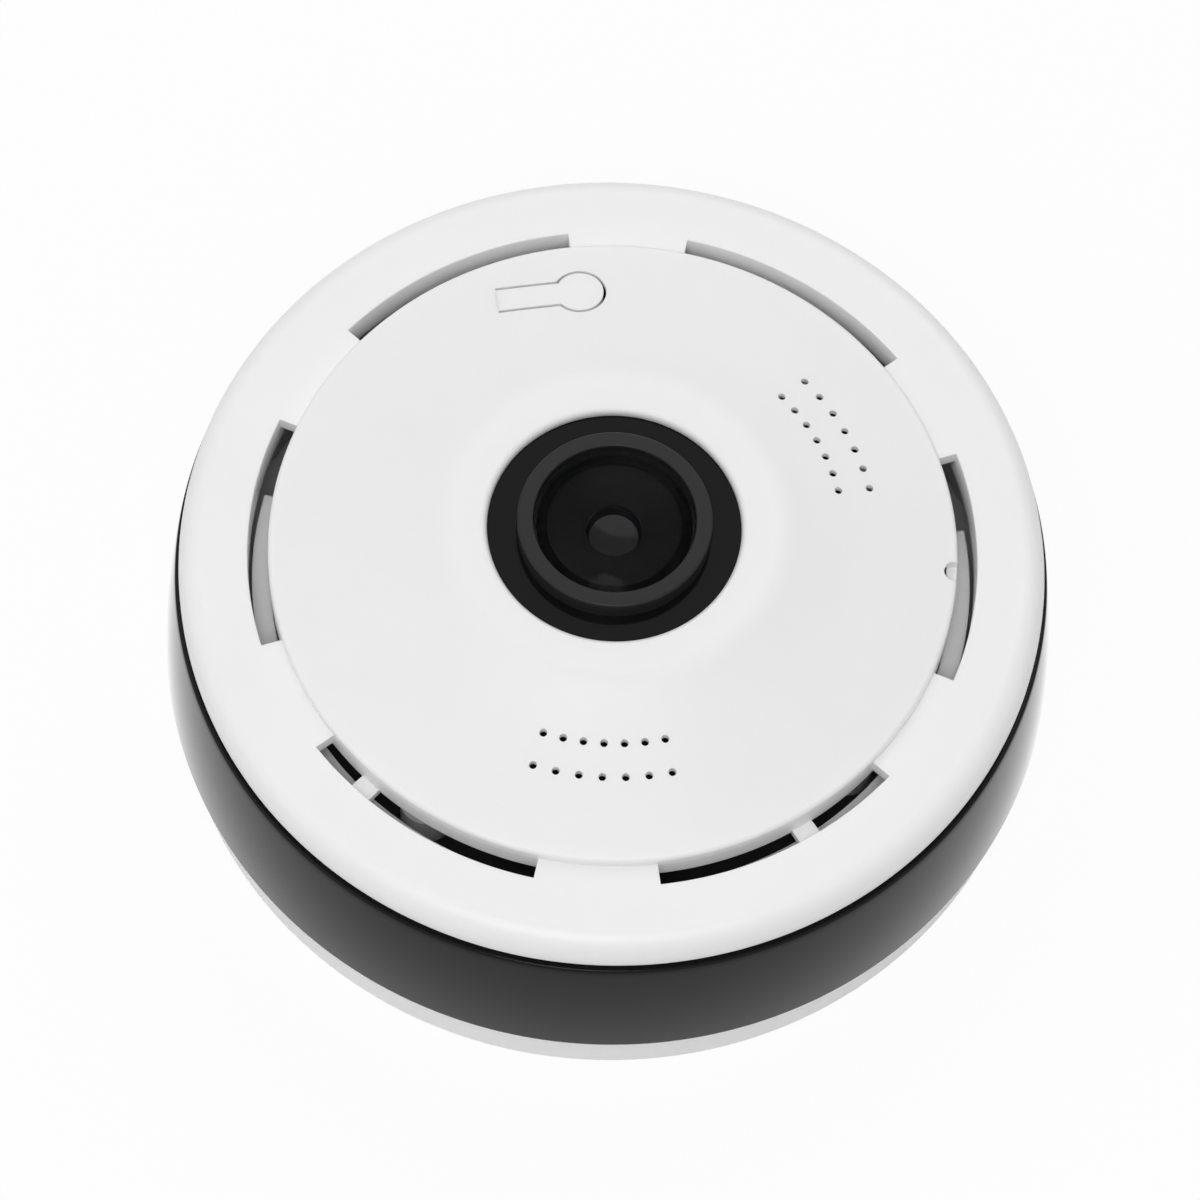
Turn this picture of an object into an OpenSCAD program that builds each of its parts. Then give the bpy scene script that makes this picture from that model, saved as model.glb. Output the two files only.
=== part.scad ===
// Round ceiling and desk camera with a fisheye lens.
// A white front cover with six vent slots sits on a black side band and a
// white base, and the whole turns on to a mounting plate with a twist lock.
// It rests on Z = 0, the lens looks along +Z, and the front is towards -Y.

/* [Casing] */
// Diameter of the casing at the foot of the band
body_d = 111.8; // [110:0.2:118]
// How far the base ring stands back under the band
base_inset = 1.1; // [0.4:0.1:1.4]
// Height of the white base ring
base_h = 8.5; // [8.2:0.1:11]
// How far the mounting plate stands proud of the base ring
plate_proud = 0.4; // [0.2:0.1:0.8]
// Height of the black side band
band_h = 18.8; // [17.6:0.2:22]
// Diameter of the band at its top edge
band_top_d = 107.8; // [107.4:0.2:109]
// How far the band's side swells past a straight cone
band_bulge = 0.3; // [0.1:0.05:0.8]
// Wall thickness of the band and the base
wall = 2.2; // [1.8:0.1:2.6]
// Height of the shadow groove between the band and the cover
groove_h = 0.9; // [0.6:0.1:1.4]
// Rounding of the casing's outer edges
edge_round = 0.5; // [0.2:0.1:0.8]

/* [Front cover] */
// Diameter of the front cover
cover_d = 106.7; // [106:0.1:107.4]
// Wall thickness of the front cover
cover_wall = 2; // [1.6:0.1:2.4]
// Height of the cover's rim
rim_h = 4; // [3.6:0.1:4.6]
// Rounding of the cover's rim
rim_round = 3; // [2:0.1:3.2]
// Diameter of the raised plate inside the vent slots
plate_d = 84.6; // [83:0.2:86]
// Height of the plate's edge above the outer ring
step_h = 1.3; // [1:0.1:2]
// Rounding of the plate's edge
step_round = 0.7; // [0.4:0.1:1]
// Slope of the plate towards its middle, in degrees
plate_tilt = 12; // [9:0.5:12.5]
// Diameter at which the dome starts to rise
dome_d = 66; // [62:0.5:70]
// Height of the dome above its foot
dome_h = 3.35; // [3.25:0.05:4.4]
// Diameter of the flat top of the dome
top_d = 41.4; // [40.6:0.2:42.4]
// Rounding between the dome's slope and its flat top
top_round = 8; // [3:0.5:12]
// Diameter of the opening for the lens
eye_d = 31; // [30:0.2:32]
// Rounding of the opening's edge
eye_round = 0.8; // [0.3:0.1:1]

/* [Vent slots] */
// Number of vent slots
slot_n = 6; // [4:1:8]
// Width of a vent slot
slot_w = 2.5; // [2.2:0.1:3]
// Length of a vent slot, in degrees
slot_angle = 40.6; // [30:0.1:42]
// Thickness of the walls that line the slots
slot_wall = 1.3; // [1:0.1:1.6]
// Depth of the wall on the slots' inner side, below the ring
slot_inner_h = 2.7; // [2:0.1:4]
// Depth of the wall on the slots' outer side, below the ring
slot_outer_h = 4.6; // [3.6:0.1:5]
// Width of the bridges that cross two of the slots, below the ring
bridge_w = 2.8; // [2:0.1:3.4]
// Angle of the half-round notch in the plate's edge
notch_angle = -2; // [-12:0.5:12]
// Diameter of the half-round notch
notch_d = 2.6; // [2:0.1:3.2]

/* [Sound holes] */
// Diameter of a sound hole
sound_d = 0.95; // [0.6:0.05:1.2]
// Holes in one row
sound_n = 7; // [3:1:9]
// Angle from hole to hole
sound_pitch = 5; // [4:0.1:6]
// Radius of the inner row
sound_r = 28.2; // [27.5:0.1:29]
// Distance between the two rows
sound_row = 4; // [3:0.1:5]
// Angle of the group over the loudspeaker
speaker_angle = -90; // [-94:1:-86]
// Angle of the group over the microphone
mic_angle = 30; // [27:0.5:34]

/* [Reset tab] */
// Distance of the tab's round head from the lens axis
tab_r = 34.7; // [34:0.1:35.2]
// Angle of the tab's round head
tab_angle = 99.5; // [98:0.1:102]
// Length of the tab from its root to the middle of its head
tab_len = 10.4; // [9:0.1:12]
// Diameter of the tab's round head
tab_head_d = 6; // [5:0.1:6.6]
// Width of the tab's neck
tab_w = 3.3; // [2.6:0.1:3.8]
// Width of the slit round the tab
tab_gap = 0.35; // [0.25:0.05:0.5]
// Thickness of the tab
tab_t = 1.2; // [0.9:0.1:1.5]
// Travel of the switch plunger under the tab
press_travel = 0.3; // [0.2:0.05:0.4]

/* [Lens] */
// Diameter of the lens barrel's front ring
barrel_d = 23.8; // [23:0.1:24.4]
// Diameter of the front glass
glass_d = 19.8; // [19:0.1:20.4]
// How far the barrel's front ring stands above the dome
barrel_proud = 1.6; // [1.2:0.05:2]
// Length of the wide front part of the barrel
barrel_front_h = 7.4; // [7:0.1:8]
// Diameter of the barrel's mounting thread
thread_d = 12; // [11.5:0.1:12.5]
// How far the front glass bulges above its edge
glass_rise = 2.2; // [1.4:0.1:3]
// Depth of the black window ring below the dome
window_drop = 1.1; // [0.9:0.1:1.5]
// Thickness of the black window ring
window_t = 1.5; // [1.2:0.1:1.8]
// Number of infrared lamps behind the window
lamp_n = 6; // [4:1:8]

/* [Inside] */
// Height of the inner ring wall below the top of the cover's ring
ring_drop = 7; // [6.4:0.1:8]
// How far the inner ring wall starts inside the edge of the cover's plate
ring_under = 0.1; // [0:0.05:0.2]
// Thickness of the inner ring wall
ring_wall = 2.3; // [1.8:0.1:2.6]
// Distance of the casing screws from the lens axis
post_r = 37; // [36.6:0.1:37.2]
// Thickness of the circuit boards
board_t = 1.6; // [1.2:0.1:1.8]
// Depth of the main board's underside below the top of the cover's ring
board_drop = 17.2; // [16.8:0.1:17.6]
// Space between the main board and the sensor board
sensor_lift = 5.4; // [5:0.1:5.6]
// Diameter of the loudspeaker
speaker_d = 20; // [18:0.2:20.4]
// Diameter of the microphone
mic_d = 6; // [5:0.1:6.4]

/* [Mounting plate] */
// Diameter of the mounting plate without its tabs
mount_d = 86.8; // [85:0.2:87.4]
// Thickness of the mounting plate
mount_t = 2; // [1.6:0.1:2.2]
// Diameter of the recess that takes the mounting plate
recess_d = 94.4; // [94:0.2:95.4]
// Depth of the recess in the base ring
recess_h = 5.2; // [5:0.1:5.6]
// Distance between the two screw slots
screw_pitch = 60; // [50:1:64]
// Width of a screw slot
screw_slot_w = 4.2; // [3.6:0.1:5]
// Length of a screw slot, end to end
screw_slot_len = 9; // [7:0.5:12]
// Half width of a locking tab, in degrees
lock_half_angle = 8; // [6:0.5:9]

/* [Sockets] */
// Angle of the memory card's slot
card_angle = 109; // [108:0.5:111]
// Width of the opening for the power plug
inlet_w = 11.5; // [10:0.1:13]
// Height of the opening for the power plug
inlet_h = 7.5; // [7:0.1:8]

/* [Hidden] */

$fn = 96;
// Overrun of every cut past the face it goes through
over = 1;
// Clearance between pieces that are put in by hand
fit = 0.2;
// Running clearance round a moving pin
run = 0.05;
// Gap at the root of the reset tab
root_gap = 0.03;

base_r = body_d / 2;
band_top_r = band_top_d / 2;
cover_r = cover_d / 2;
plate_r = plate_d / 2;
dome_r = dome_d / 2;
top_r = top_d / 2;
eye_r = eye_d / 2;

z_base = plate_proud;
z_band = z_base + base_h;
z_groove = z_band + band_h;
z_low = z_groove + groove_h;
z_ring = z_low + rim_h;
z_plate = z_ring + step_h;
z_dome = z_plate + (plate_r - dome_r) * tan(plate_tilt);
z_top = z_dome + dome_h;
z_barrel = z_top + barrel_proud;
z_window = z_top - window_drop;

// The dome's slope is an arc that starts along the plate and ends at the
// edge of the flat top, and a second arc rounds that edge.
rise = dome_r - top_r;
slope_r = (rise * rise + dome_h * dome_h)
    / (2 * (dome_h * cos(plate_tilt) - rise * sin(plate_tilt)));
slope_x = dome_r + slope_r * sin(plate_tilt);
slope_z = z_dome + slope_r * cos(plate_tilt);
round_z = z_top - top_round;
round_x = slope_x - sqrt(pow(slope_r + top_round, 2) - pow(slope_z - round_z, 2));
meet_share = top_round / (slope_r + top_round);
meet_x = round_x + (slope_x - round_x) * meet_share;
meet_z = round_z + (slope_z - round_z) * meet_share;

// The band leans in from the base to its top edge, with a slight swell.
band_lean = base_r - band_top_r;
band_side = sqrt(band_lean * band_lean + band_h * band_h);
swell_r = band_side * band_side / (8 * band_bulge) + band_bulge / 2;
ledge_w = 4.8;
ledge_t = 1.8;
ledge_in = band_top_r - ledge_w;
z_ledge_foot = z_groove - ledge_t - wall;
// Radius of the band's inner face at a height below its ledge
function band_inside(z) = base_r - wall
    - (z - z_band) * band_lean / (z_ledge_foot - z_band);

// The base's inner rim, and the cover's skirt that stands on the ledge.
rim_foot_h = 3;
rim_foot_t = 1.8;
rim_foot_r = band_inside(z_band + rim_foot_h) - fit;
skirt_t = 1.8;
skirt_off = 3.3;
skirt_in = cover_r - skirt_off;
lip_t = 1.8;

// The base's floor and the curved wall below the front slots.
floor_t = 2;
z_recess = z_base + recess_h;
z_floor = z_recess + floor_t;
ring_in = plate_r - ring_under;
ring_out = ring_in + ring_wall;
z_wall = z_ring - ring_drop;
ring_angle = 202;
ring_mid_angle = -90;
bridge_angles = [-131, -55];
// The revolved solids start here, clear of every hole
seam_angle = 210;
bridge_h = 1.2;
bridge_lap = 0.3;
notch_out = 0.4;
notch_sink = 0.2;

z_board = z_ring - board_drop;
z_parts = z_board + board_t;
sensor_board_t = 1.2;
z_sensor_board = z_parts + sensor_lift;
z_sensor = z_sensor_board + sensor_board_t;
board_air = 0.7;
board_r = ring_in - board_air;

// The screws that hold the cover to the base.
post_angles = [55, 145, 235, 325];
post_d = 6.4;
post_rise = 5.3;
z_post = z_parts + post_rise;
post_gap = 0.1;
head_d = 4.4;
head_h = 1.8;
shank_d = 2.4;
shank_len = 12;
screw_rise = 1;
z_head = z_board + screw_rise;
driver_w = 0.7;
driver_depth_share = 0.6;
driver_len_share = 0.6;

// The small screws that hold the boards.
pin_head_d = 3.4;
pin_head_h = 1.2;
pin_shank_d = 1.6;
pin_shank_len = 4.5;
pin_hole_len = pin_shank_len + fit;
boss_d = 5;
boss_r = 34;
boss_angles = [90, 211, -14];
stand_d = 4.4;
stand_xy = 13;

// The optics, from the front glass to the sensor.
seat_drop = 0.35;
barrel_edge = 0.35;
shoulder = 2.2;
glass_edge_h = 1.6;
hollow_r = 8.4;
hollow_rise = 1.2;
baffle_h = 1.9;
baffle_lip = 0.5;
baffle_mouth_share = 0.86;
baffle_hole_share = 0.36;
inner_d = 12.4;
inner_h = 2.6;
stop_d = 8.6;
stop_h = 1;
stop_hole_share = 0.28;
rear_d = 7.6;
rear_h = 3;
rear_edge_h = 1.5;
tail_h = 3.6;
tail_hole_d = 6;
holder_wall = 1.6;
holder_h = 8.8;
ear_d = 5;
filter_w = 7.4;
filter_t = 0.5;
sensor_w = 6.6;
sensor_t = 1.1;
shelf_t = 0.5;
shelf_w = 0.8;
z_neck = z_barrel - barrel_front_h;
z_glass = z_barrel - seat_drop - glass_edge_h;
z_baffle = z_glass - baffle_h;
z_inner = z_baffle - inner_h;
z_stop = z_inner - stop_h;
z_rear = z_stop - rear_h;
z_tail = z_rear - tail_h;
z_filter = z_sensor + sensor_t + shelf_t;
ear_x = thread_d / 2 + holder_wall + pin_head_d / 2 + fit;

// The black window ring and what lies behind it.
window_lip = 2.9;
window_r = eye_r + window_lip;
z_window_low = z_window - window_t;
lamp_gap = 0.3;
lamp_h = 1;
lamp_w = 2.6;
lamp_len = 3.2;
lamp_board_t = 1.2;
z_lamp_board = z_window_low - lamp_gap - lamp_h - lamp_board_t;
tube_t = 1.4;
tube_low = 1.4;
z_tube = z_lamp_board - tube_low;
lamp_r = (barrel_d / 2 + window_r) / 2;

// The loudspeaker and the microphone, each in a collar under the cover.
speaker_shift = 0.3;
speaker_r = sound_r + sound_row / 2 + speaker_shift;
speaker_h = 4.4;
speaker_rim_h = 1;
magnet_d_share = 0.62;
magnet_h_share = 0.45;
collar_t = 1.1;
collar_h = 4;
z_collar = z_plate - cover_wall;
gasket_t = 0.9;
gasket_w = 1.6;
z_speaker = z_collar - gasket_t;
mic_r = sound_r + sound_row / 2;
mic_h = 2.6;
mic_hole_share = 0.5;
boot_t = 1;
z_mic = z_collar - boot_t - mic_h;

// The reset tab's post and its switch.
tab_root_x = -tab_len;
tab_post_d = 2.4;
post_tip_gap = 0.1;
switch_w = 6.2;
switch_h = 3.6;
plunger_d = 3.5;
plunger_h = 9.5;
plunger_seat = 1.2;
z_plunger = z_parts + plunger_h;
z_seat = z_parts + switch_h - plunger_seat;
z_tab = z_plate + (plate_r - tab_r) * tan(plate_tilt) - tab_t / 2;

// The twist lock: tabs on the plate turn over ledges in the recess.
lock_n = 3;
lock_t = 1.4;
lock_reach = 3.2;
lock_first_angle = 60;
ledge_more_angle = 1;
ledge_half_angle = lock_half_angle + ledge_more_angle;
ledge_h = 1.4;
ledge_reach = 3.2;
ledge_lift = 0.9;
lock_gap = 0.3;
stop_angle = 2;
stop_clear_angle = 0.5;
z_ledge = z_base + ledge_lift;
z_lock = z_ledge + ledge_h + lock_gap;
recess_r = recess_d / 2;
mount_r = mount_d / 2;
mount_rim = 1.6;
hub_hole_d = 22;
rib_ring_d = 36;
rib_ring_h = 1.2;

// The power inlet and the memory card's socket, at the rear.
inlet_back = 1.25;
tongue_side = 2;
inlet_lip = 0.3;
inlet_body_w = 7.6;
inlet_body_len = 5.8;
inlet_body_h = 2.8;
inlet_shell_t = 0.3;
inlet_hollow = 4.6;
inlet_tongue_w = 3.6;
inlet_tongue_h = 0.6;
inlet_round = 2;
z_inlet = z_parts + inlet_body_h / 2;
inlet_end = band_inside(z_parts + inlet_body_h) - inlet_back;
card_back = 0.5;
card_side = 0.5;
card_w = 11;
card_len = 15;
card_t = 0.7;
card_cut = 1.6;
card_proud = 2.2;
card_air = 0.3;
ridge_w = 1.4;
ridge_h = 0.3;
card_body_w = 14.2;
card_body_len = 13.6;
card_body_h = 1.9;
card_slot_w = 12.6;
card_slot_h = 2.4;
z_card = z_parts + (card_body_h - card_t) / 2;
card_end = band_inside(z_parts + card_body_h) - card_back;

// What else the main board carries.
chip_w = 12;
chip_h = 1.3;
chip_xy = [-25, -5];
sink_w = 14;
sink_h = 6;
sink_base_h = 1.4;
fin_n = 6;
fin_t = 1;
flash_w = 8;
flash_len = 6;
flash_h = 1.1;
flash_places = [[-23, 9], [-16, 24], [10, -26]];
wifi_w = 13;
wifi_len = 16;
wifi_h = 2.4;
wifi_xy = [27, 14];
antenna_t = 0.4;
antenna_h = 7;
antenna_lift = 0.6;
antenna_angle = 30;
antenna_mid_angle = -30;
cable_w = 8;
cable_t = 0.3;
cable_bend = 1.2;
socket_w = 10;
socket_len = 3.6;
socket_h = 1.4;
socket_edge = 0.4;
sensor_half = 17;
socket_x1 = sensor_half - socket_len / 2 - socket_edge;
socket_x2 = socket_x1 + socket_len + 2 * cable_bend;

// What a rounded outer corner loses at [x, z], under a face of the given tilt.
module corner(x, z, r, tilt = 0) {
    translate([x - r, z + r * tan(tilt) - r / cos(tilt)])
        difference() {
            polygon([[0, 0], [2 * r, 0], [2 * r, 2 * r], [2 * r * tan(tilt), 2 * r]]);
            circle(r);
        }
}

// All that lies below the cover's outer face, as a half section.
module below_face() {
    difference() {
        union() {
            polygon([
                [0, z_band], [cover_r, z_band], [cover_r, z_ring],
                [plate_r, z_ring], [plate_r, z_plate], [dome_r, z_dome],
                [meet_x, meet_z], [round_x, z_top], [0, z_top]
            ]);
            translate([round_x, round_z])
                circle(top_round, $fn = 2 * $fn);
        }
        translate([slope_x, slope_z])
            circle(slope_r, $fn = 4 * $fn);
        corner(cover_r, z_ring, rim_round);
        corner(plate_r, z_plate, step_round, plate_tilt);
    }
}

// A skin of even height under the cover's outer face, from r1 to r2.
module skin_section(r1, r2, t) {
    intersection() {
        difference() {
            below_face();
            translate([0, -t])
                below_face();
        }
        translate([r1, z_low])
            square([r2 - r1, z_top - z_low]);
    }
}

// A ring of rectangular section between two radii and two heights.
module ring(r1, r2, z1, z2) {
    rotate_extrude()
        translate([r1, z1])
            square([r2 - r1, z2 - z1]);
}

// A part of such a ring, centred on an angle.
module arc(r1, r2, z1, z2, mid, span) {
    rotate([0, 0, mid - span / 2])
        rotate_extrude(angle = span)
            translate([r1, z1])
                square([r2 - r1, z2 - z1]);
}

// Puts its children at a polar place and turns them outwards.
module polar(r, angle) {
    rotate([0, 0, angle])
        translate([r, 0, 0])
            children();
}

// A block centred on X and Y that stands on the given height.
module block(size, z) {
    translate([-size[0] / 2, -size[1] / 2, z])
        cube(size);
}

// The tab's outline, grown by g, with its head in the middle.
module tab_outline(g) {
    circle(tab_head_d / 2 + g);
    translate([tab_root_x, -tab_w / 2 - g])
        square([tab_len, tab_w + 2 * g]);
}

// Puts its children at the tab's head, with the root towards -X.
module at_tab() {
    polar(tab_r, tab_angle)
        rotate([0, 0, -90])
            children();
}

// A screw with a crossed driver recess, its head's top at z = 0.
module screw(dh, hh, ds, len) {
    slot = [dh * driver_len_share, driver_w, 2 * hh * driver_depth_share];
    difference() {
        union() {
            translate([0, 0, -hh])
                cylinder(h = hh, d = dh);
            translate([0, 0, -hh - len])
                cylinder(h = len, d = ds);
        }
        for (turn = [0, 90])
            rotate([0, 0, turn])
                block(slot, -slot[2] / 2);
    }
}

// Two rows of sound holes, as pins that cut the cover.
module sound_pins(angle) {
    for (row = [0, 1])
        for (i = [0 : sound_n - 1])
            polar(sound_r + row * sound_row, angle + (i - (sound_n - 1) / 2) * sound_pitch)
                translate([0, 0, z_collar - over])
                    cylinder(h = z_top - z_collar + 2 * over, d = sound_d, $fn = 24);
}

// A round collar that holds the loudspeaker or the microphone.
module collar(r, angle, d, lip) {
    polar(r, angle)
        difference() {
            translate([0, 0, z_collar - collar_h])
                cylinder(h = z_top - z_collar + collar_h, d = d + 2 * collar_t);
            translate([0, 0, z_collar - collar_h - over])
                cylinder(h = collar_h + over, d = d);
            translate([0, 0, z_collar - over])
                cylinder(h = z_top - z_collar + 2 * over, d = d - 2 * lip);
        }
}

// The posts and collars under the cover, which end inside its skin.
module cover_lugs() {
    intersection() {
        rotate_extrude()
            translate([0, -cover_wall / 2])
                below_face();
        union() {
            for (a = post_angles)
                polar(post_r, a)
                    translate([0, 0, z_post])
                        cylinder(h = z_top - z_post, d = post_d);
            collar(speaker_r, speaker_angle, speaker_d + 2 * fit, gasket_w);
            collar(mic_r, mic_angle, mic_d + 2 * boot_t + 2 * fit, boot_t);
        }
    }
}

// A wall of rectangular section between two radii and two heights.
module wall_section(r1, r2, z1, z2) {
    translate([r1, z1])
        square([r2 - r1, z2 - z1]);
}

// The plate with its dome, the tube round the lens and the slots' inner wall.
module plate_section() {
    inside = z_top - cover_wall / 2;
    difference() {
        union() {
            skin_section(eye_r, plate_r, cover_wall);
            wall_section(plate_r - slot_wall, plate_r, z_ring - slot_inner_h, z_ring);
            wall_section(window_r + fit, window_r + fit + tube_t, z_tube, inside);
        }
        translate([eye_r - over, z_low])
            square([window_r + fit - eye_r + over, z_window - z_low]);
        translate([eye_r + eye_round, z_top - eye_round])
            mirror([1, 0])
                difference() {
                    square(eye_round + over);
                    circle(eye_round);
                }
    }
}

// The outer ring with its rim, its skirt and the slots' outer wall.
module ring_section() {
    slot_out = plate_r + slot_w;
    union() {
        skin_section(slot_out, cover_r, cover_wall);
        wall_section(cover_r - lip_t, cover_r, z_low, z_ring - rim_round);
        wall_section(skirt_in, skirt_in + skirt_t, z_groove, z_ring - cover_wall / 2);
        wall_section(slot_out, slot_out + slot_wall, z_ring - slot_outer_h,
            z_ring - cover_wall / 2);
    }
}

// What joins the plate to the outer ring between the vent slots.
module slot_bridges() {
    r1 = plate_r - slot_wall / 2;
    r2 = plate_r + slot_w + slot_wall / 2;
    for (i = [0 : slot_n - 1])
        arc(r1, r2, z_ring - cover_wall, z_ring, (i + 1 / 2) * 360 / slot_n,
            360 / slot_n - slot_angle);
    for (a = bridge_angles)
        polar((r1 + r2) / 2, a)
            block([r2 - r1, bridge_w, bridge_h], z_ring - slot_inner_h + bridge_lap - bridge_h);
}

module front_cover() {
    color("white")
        difference() {
            union() {
                rotate([0, 0, seam_angle])
                    rotate_extrude()
                        plate_section();
                rotate([0, 0, seam_angle])
                    rotate_extrude()
                        ring_section();
                slot_bridges();
                cover_lugs();
            }
            sound_pins(speaker_angle);
            sound_pins(mic_angle);
            at_tab()
                translate([0, 0, z_groove])
                    linear_extrude(z_top - z_groove)
                        tab_outline(tab_gap);
            polar(plate_r - notch_out, notch_angle)
                translate([0, 0, z_ring - notch_sink])
                    cylinder(h = step_h + notch_sink + over, d = notch_d);
            for (a = post_angles)
                polar(post_r, a)
                    translate([0, 0, z_post - over])
                        cylinder(h = z_collar - z_post, d = shank_d + 2 * run);
        }
}

module reset_tab() {
    color("white") {
        intersection() {
            rotate_extrude()
                skin_section(tab_r - tab_len, plate_r, tab_t);
            at_tab()
                translate([0, 0, z_groove])
                    linear_extrude(z_top - z_groove)
                        difference() {
                            tab_outline(0);
                            translate([tab_root_x - over, -tab_w])
                                square([over + root_gap, 2 * tab_w]);
                        }
        }
        at_tab()
            translate([0, 0, z_plunger + post_tip_gap])
                cylinder(h = z_tab - z_plunger - post_tip_gap, d = tab_post_d);
    }
}

module ir_window() {
    color("black")
        ring(barrel_d / 2 + run, window_r, z_window_low, z_window);
}

module lens_barrel() {
    br = barrel_d / 2;
    gr = glass_d / 2;
    color("dimgray")
        difference() {
            rotate_extrude()
                polygon([
                    [0, z_tail], [thread_d / 2, z_tail], [thread_d / 2, z_neck],
                    [br - shoulder, z_neck], [br, z_neck + shoulder],
                    [br, z_barrel - barrel_edge], [br - barrel_edge, z_barrel], [0, z_barrel]
                ]);
            translate([0, 0, z_glass])
                cylinder(h = z_barrel - z_glass + over, r = gr);
            translate([0, 0, z_baffle])
                cylinder(h = z_glass - z_baffle + over, r = gr - barrel_edge);
            translate([0, 0, z_inner])
                cylinder(h = z_baffle - z_inner + over, d = inner_d);
            translate([0, 0, z_rear])
                cylinder(h = z_inner - z_rear + over, d = stop_d);
            translate([0, 0, z_tail - over])
                cylinder(h = z_rear - z_tail + 2 * over, d = tail_hole_d);
        }
}

module front_lens() {
    gr = glass_d / 2;
    bulge = (gr * gr + glass_rise * glass_rise) / (2 * glass_rise);
    color("midnightblue", 0.6)
        difference() {
            intersection() {
                translate([0, 0, z_glass])
                    cylinder(h = glass_edge_h + glass_rise + over, r = gr);
                translate([0, 0, z_glass + glass_edge_h + glass_rise - bulge])
                    sphere(bulge);
            }
            translate([0, 0, z_glass + hollow_rise - hollow_r])
                sphere(hollow_r);
        }
}

module lens_baffle() {
    gr = glass_d / 2 - barrel_edge;
    color("black")
        rotate_extrude()
            polygon([
                [gr * baffle_hole_share, z_baffle], [gr, z_baffle], [gr, z_glass],
                [gr * baffle_mouth_share, z_glass],
                [gr * baffle_hole_share, z_baffle + baffle_lip]
            ]);
}

// A lens with a domed front, standing on z.
module domed_lens(d, h, z) {
    intersection() {
        translate([0, 0, z])
            cylinder(h = h, d = d);
        translate([0, 0, z + h - d])
            sphere(d);
    }
}

module inner_lens() {
    color("midnightblue", 0.6)
        domed_lens(inner_d, inner_h, z_inner);
}

module aperture_ring() {
    color("black")
        ring(stop_d / 2 * stop_hole_share, stop_d / 2, z_stop, z_inner);
}

module rear_lens() {
    color("midnightblue", 0.6)
        union() {
            domed_lens(rear_d, rear_h, z_rear);
            translate([0, 0, z_rear])
                cylinder(h = rear_edge_h, d = stop_d);
        }
}

module lens_holder() {
    flange = filter_w + 2 * holder_wall;
    window = filter_w - 2 * shelf_w;
    color("black")
        difference() {
            union() {
                block([flange, flange, holder_h / 2], z_sensor);
                block([2 * ear_x, ear_d, holder_wall], z_sensor);
                translate([0, 0, z_sensor])
                    cylinder(h = holder_h, d = thread_d + 2 * holder_wall);
                for (side = [-1, 1])
                    translate([side * ear_x, 0, z_sensor])
                        cylinder(h = holder_wall, d = ear_d);
            }
            translate([0, 0, z_tail - fit])
                cylinder(h = holder_h + over, d = thread_d + 2 * run);
            block([filter_w + fit, filter_w + fit, z_tail - z_filter], z_filter);
            block([window, window, holder_h], z_sensor - over);
            block([sensor_w + fit, sensor_w + fit, sensor_t + over], z_sensor - over);
            for (side = [-1, 1])
                translate([side * ear_x, 0, z_sensor - over])
                    cylinder(h = holder_wall + 2 * over, d = pin_shank_d + fit);
        }
}

module ir_filter() {
    color("lightcoral", 0.6)
        block([filter_w, filter_w, filter_t], z_filter);
}

module image_sensor() {
    color("darkslategray")
        block([sensor_w, sensor_w, sensor_t], z_sensor);
}

module sensor_board() {
    color("darkgreen")
        difference() {
            intersection() {
                block([2 * sensor_half, 2 * sensor_half, sensor_board_t], z_sensor_board);
                translate([0, 0, z_sensor_board])
                    cylinder(h = sensor_board_t, r = sensor_half * sqrt(2) - sensor_board_t);
            }
            for (sx = [-1, 1])
                for (sy = [-1, 1])
                    translate([sx * stand_xy, sy * stand_xy, z_sensor_board - over])
                        cylinder(h = sensor_board_t + 2 * over, d = pin_shank_d + fit);
            for (side = [-1, 1])
                translate([side * ear_x, 0, z_sensor_board - over])
                    cylinder(h = sensor_board_t + 2 * over, d = pin_shank_d + 2 * run);
        }
}

module cable_sockets() {
    color("ivory") {
        translate([socket_x1, 0, 0])
            block([socket_len, socket_w, socket_h], z_sensor);
        translate([socket_x2, 0, 0])
            block([socket_len, socket_w, socket_h], z_parts);
    }
}

// The ribbon leaves one socket, bends down, drops and bends into the other.
module sensor_cable() {
    x1 = socket_x1 + socket_len / 2;
    z1 = z_sensor + socket_h / 2;
    z2 = z_parts + socket_h / 2;
    out = cable_bend + cable_t / 2;
    in = cable_bend - cable_t / 2;
    color("lightsteelblue")
        translate([0, cable_w / 2, 0])
            rotate([90, 0, 0])
                linear_extrude(cable_w)
                    union() {
                        translate([x1, z1 - cable_bend])
                            intersection() {
                                difference() {
                                    circle(out);
                                    circle(in);
                                }
                                square(out);
                            }
                        translate([x1 + in, z2 + cable_bend])
                            square([cable_t, z1 - z2 - 2 * cable_bend]);
                        translate([x1 + 2 * cable_bend, z2 + cable_bend])
                            mirror([1, 1])
                                intersection() {
                                    difference() {
                                        circle(out);
                                        circle(in);
                                    }
                                    square(out);
                                }
                    }
}

module lamp_board() {
    color("darkgreen")
        ring(barrel_d / 2 + fit, window_r, z_lamp_board, z_lamp_board + lamp_board_t);
}

module infrared_lamps() {
    color("gold")
        for (i = [0 : lamp_n - 1])
            polar(lamp_r, (i + 1 / 2) * 360 / lamp_n)
                block([lamp_w, lamp_len, lamp_h], z_lamp_board + lamp_board_t);
}

module loudspeaker() {
    sr = speaker_d / 2;
    mr = sr * magnet_d_share;
    mh = speaker_h * magnet_h_share;
    color("silver")
        polar(speaker_r, speaker_angle)
            translate([0, 0, z_speaker - speaker_h])
                difference() {
                    rotate_extrude()
                        polygon([
                            [0, 0], [mr, 0], [mr, mh], [sr, speaker_h - speaker_rim_h],
                            [sr, speaker_h], [0, speaker_h]
                        ]);
                    translate([0, 0, speaker_h - speaker_rim_h / 2])
                        cylinder(h = speaker_rim_h, r = sr - gasket_w);
                }
}

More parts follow.
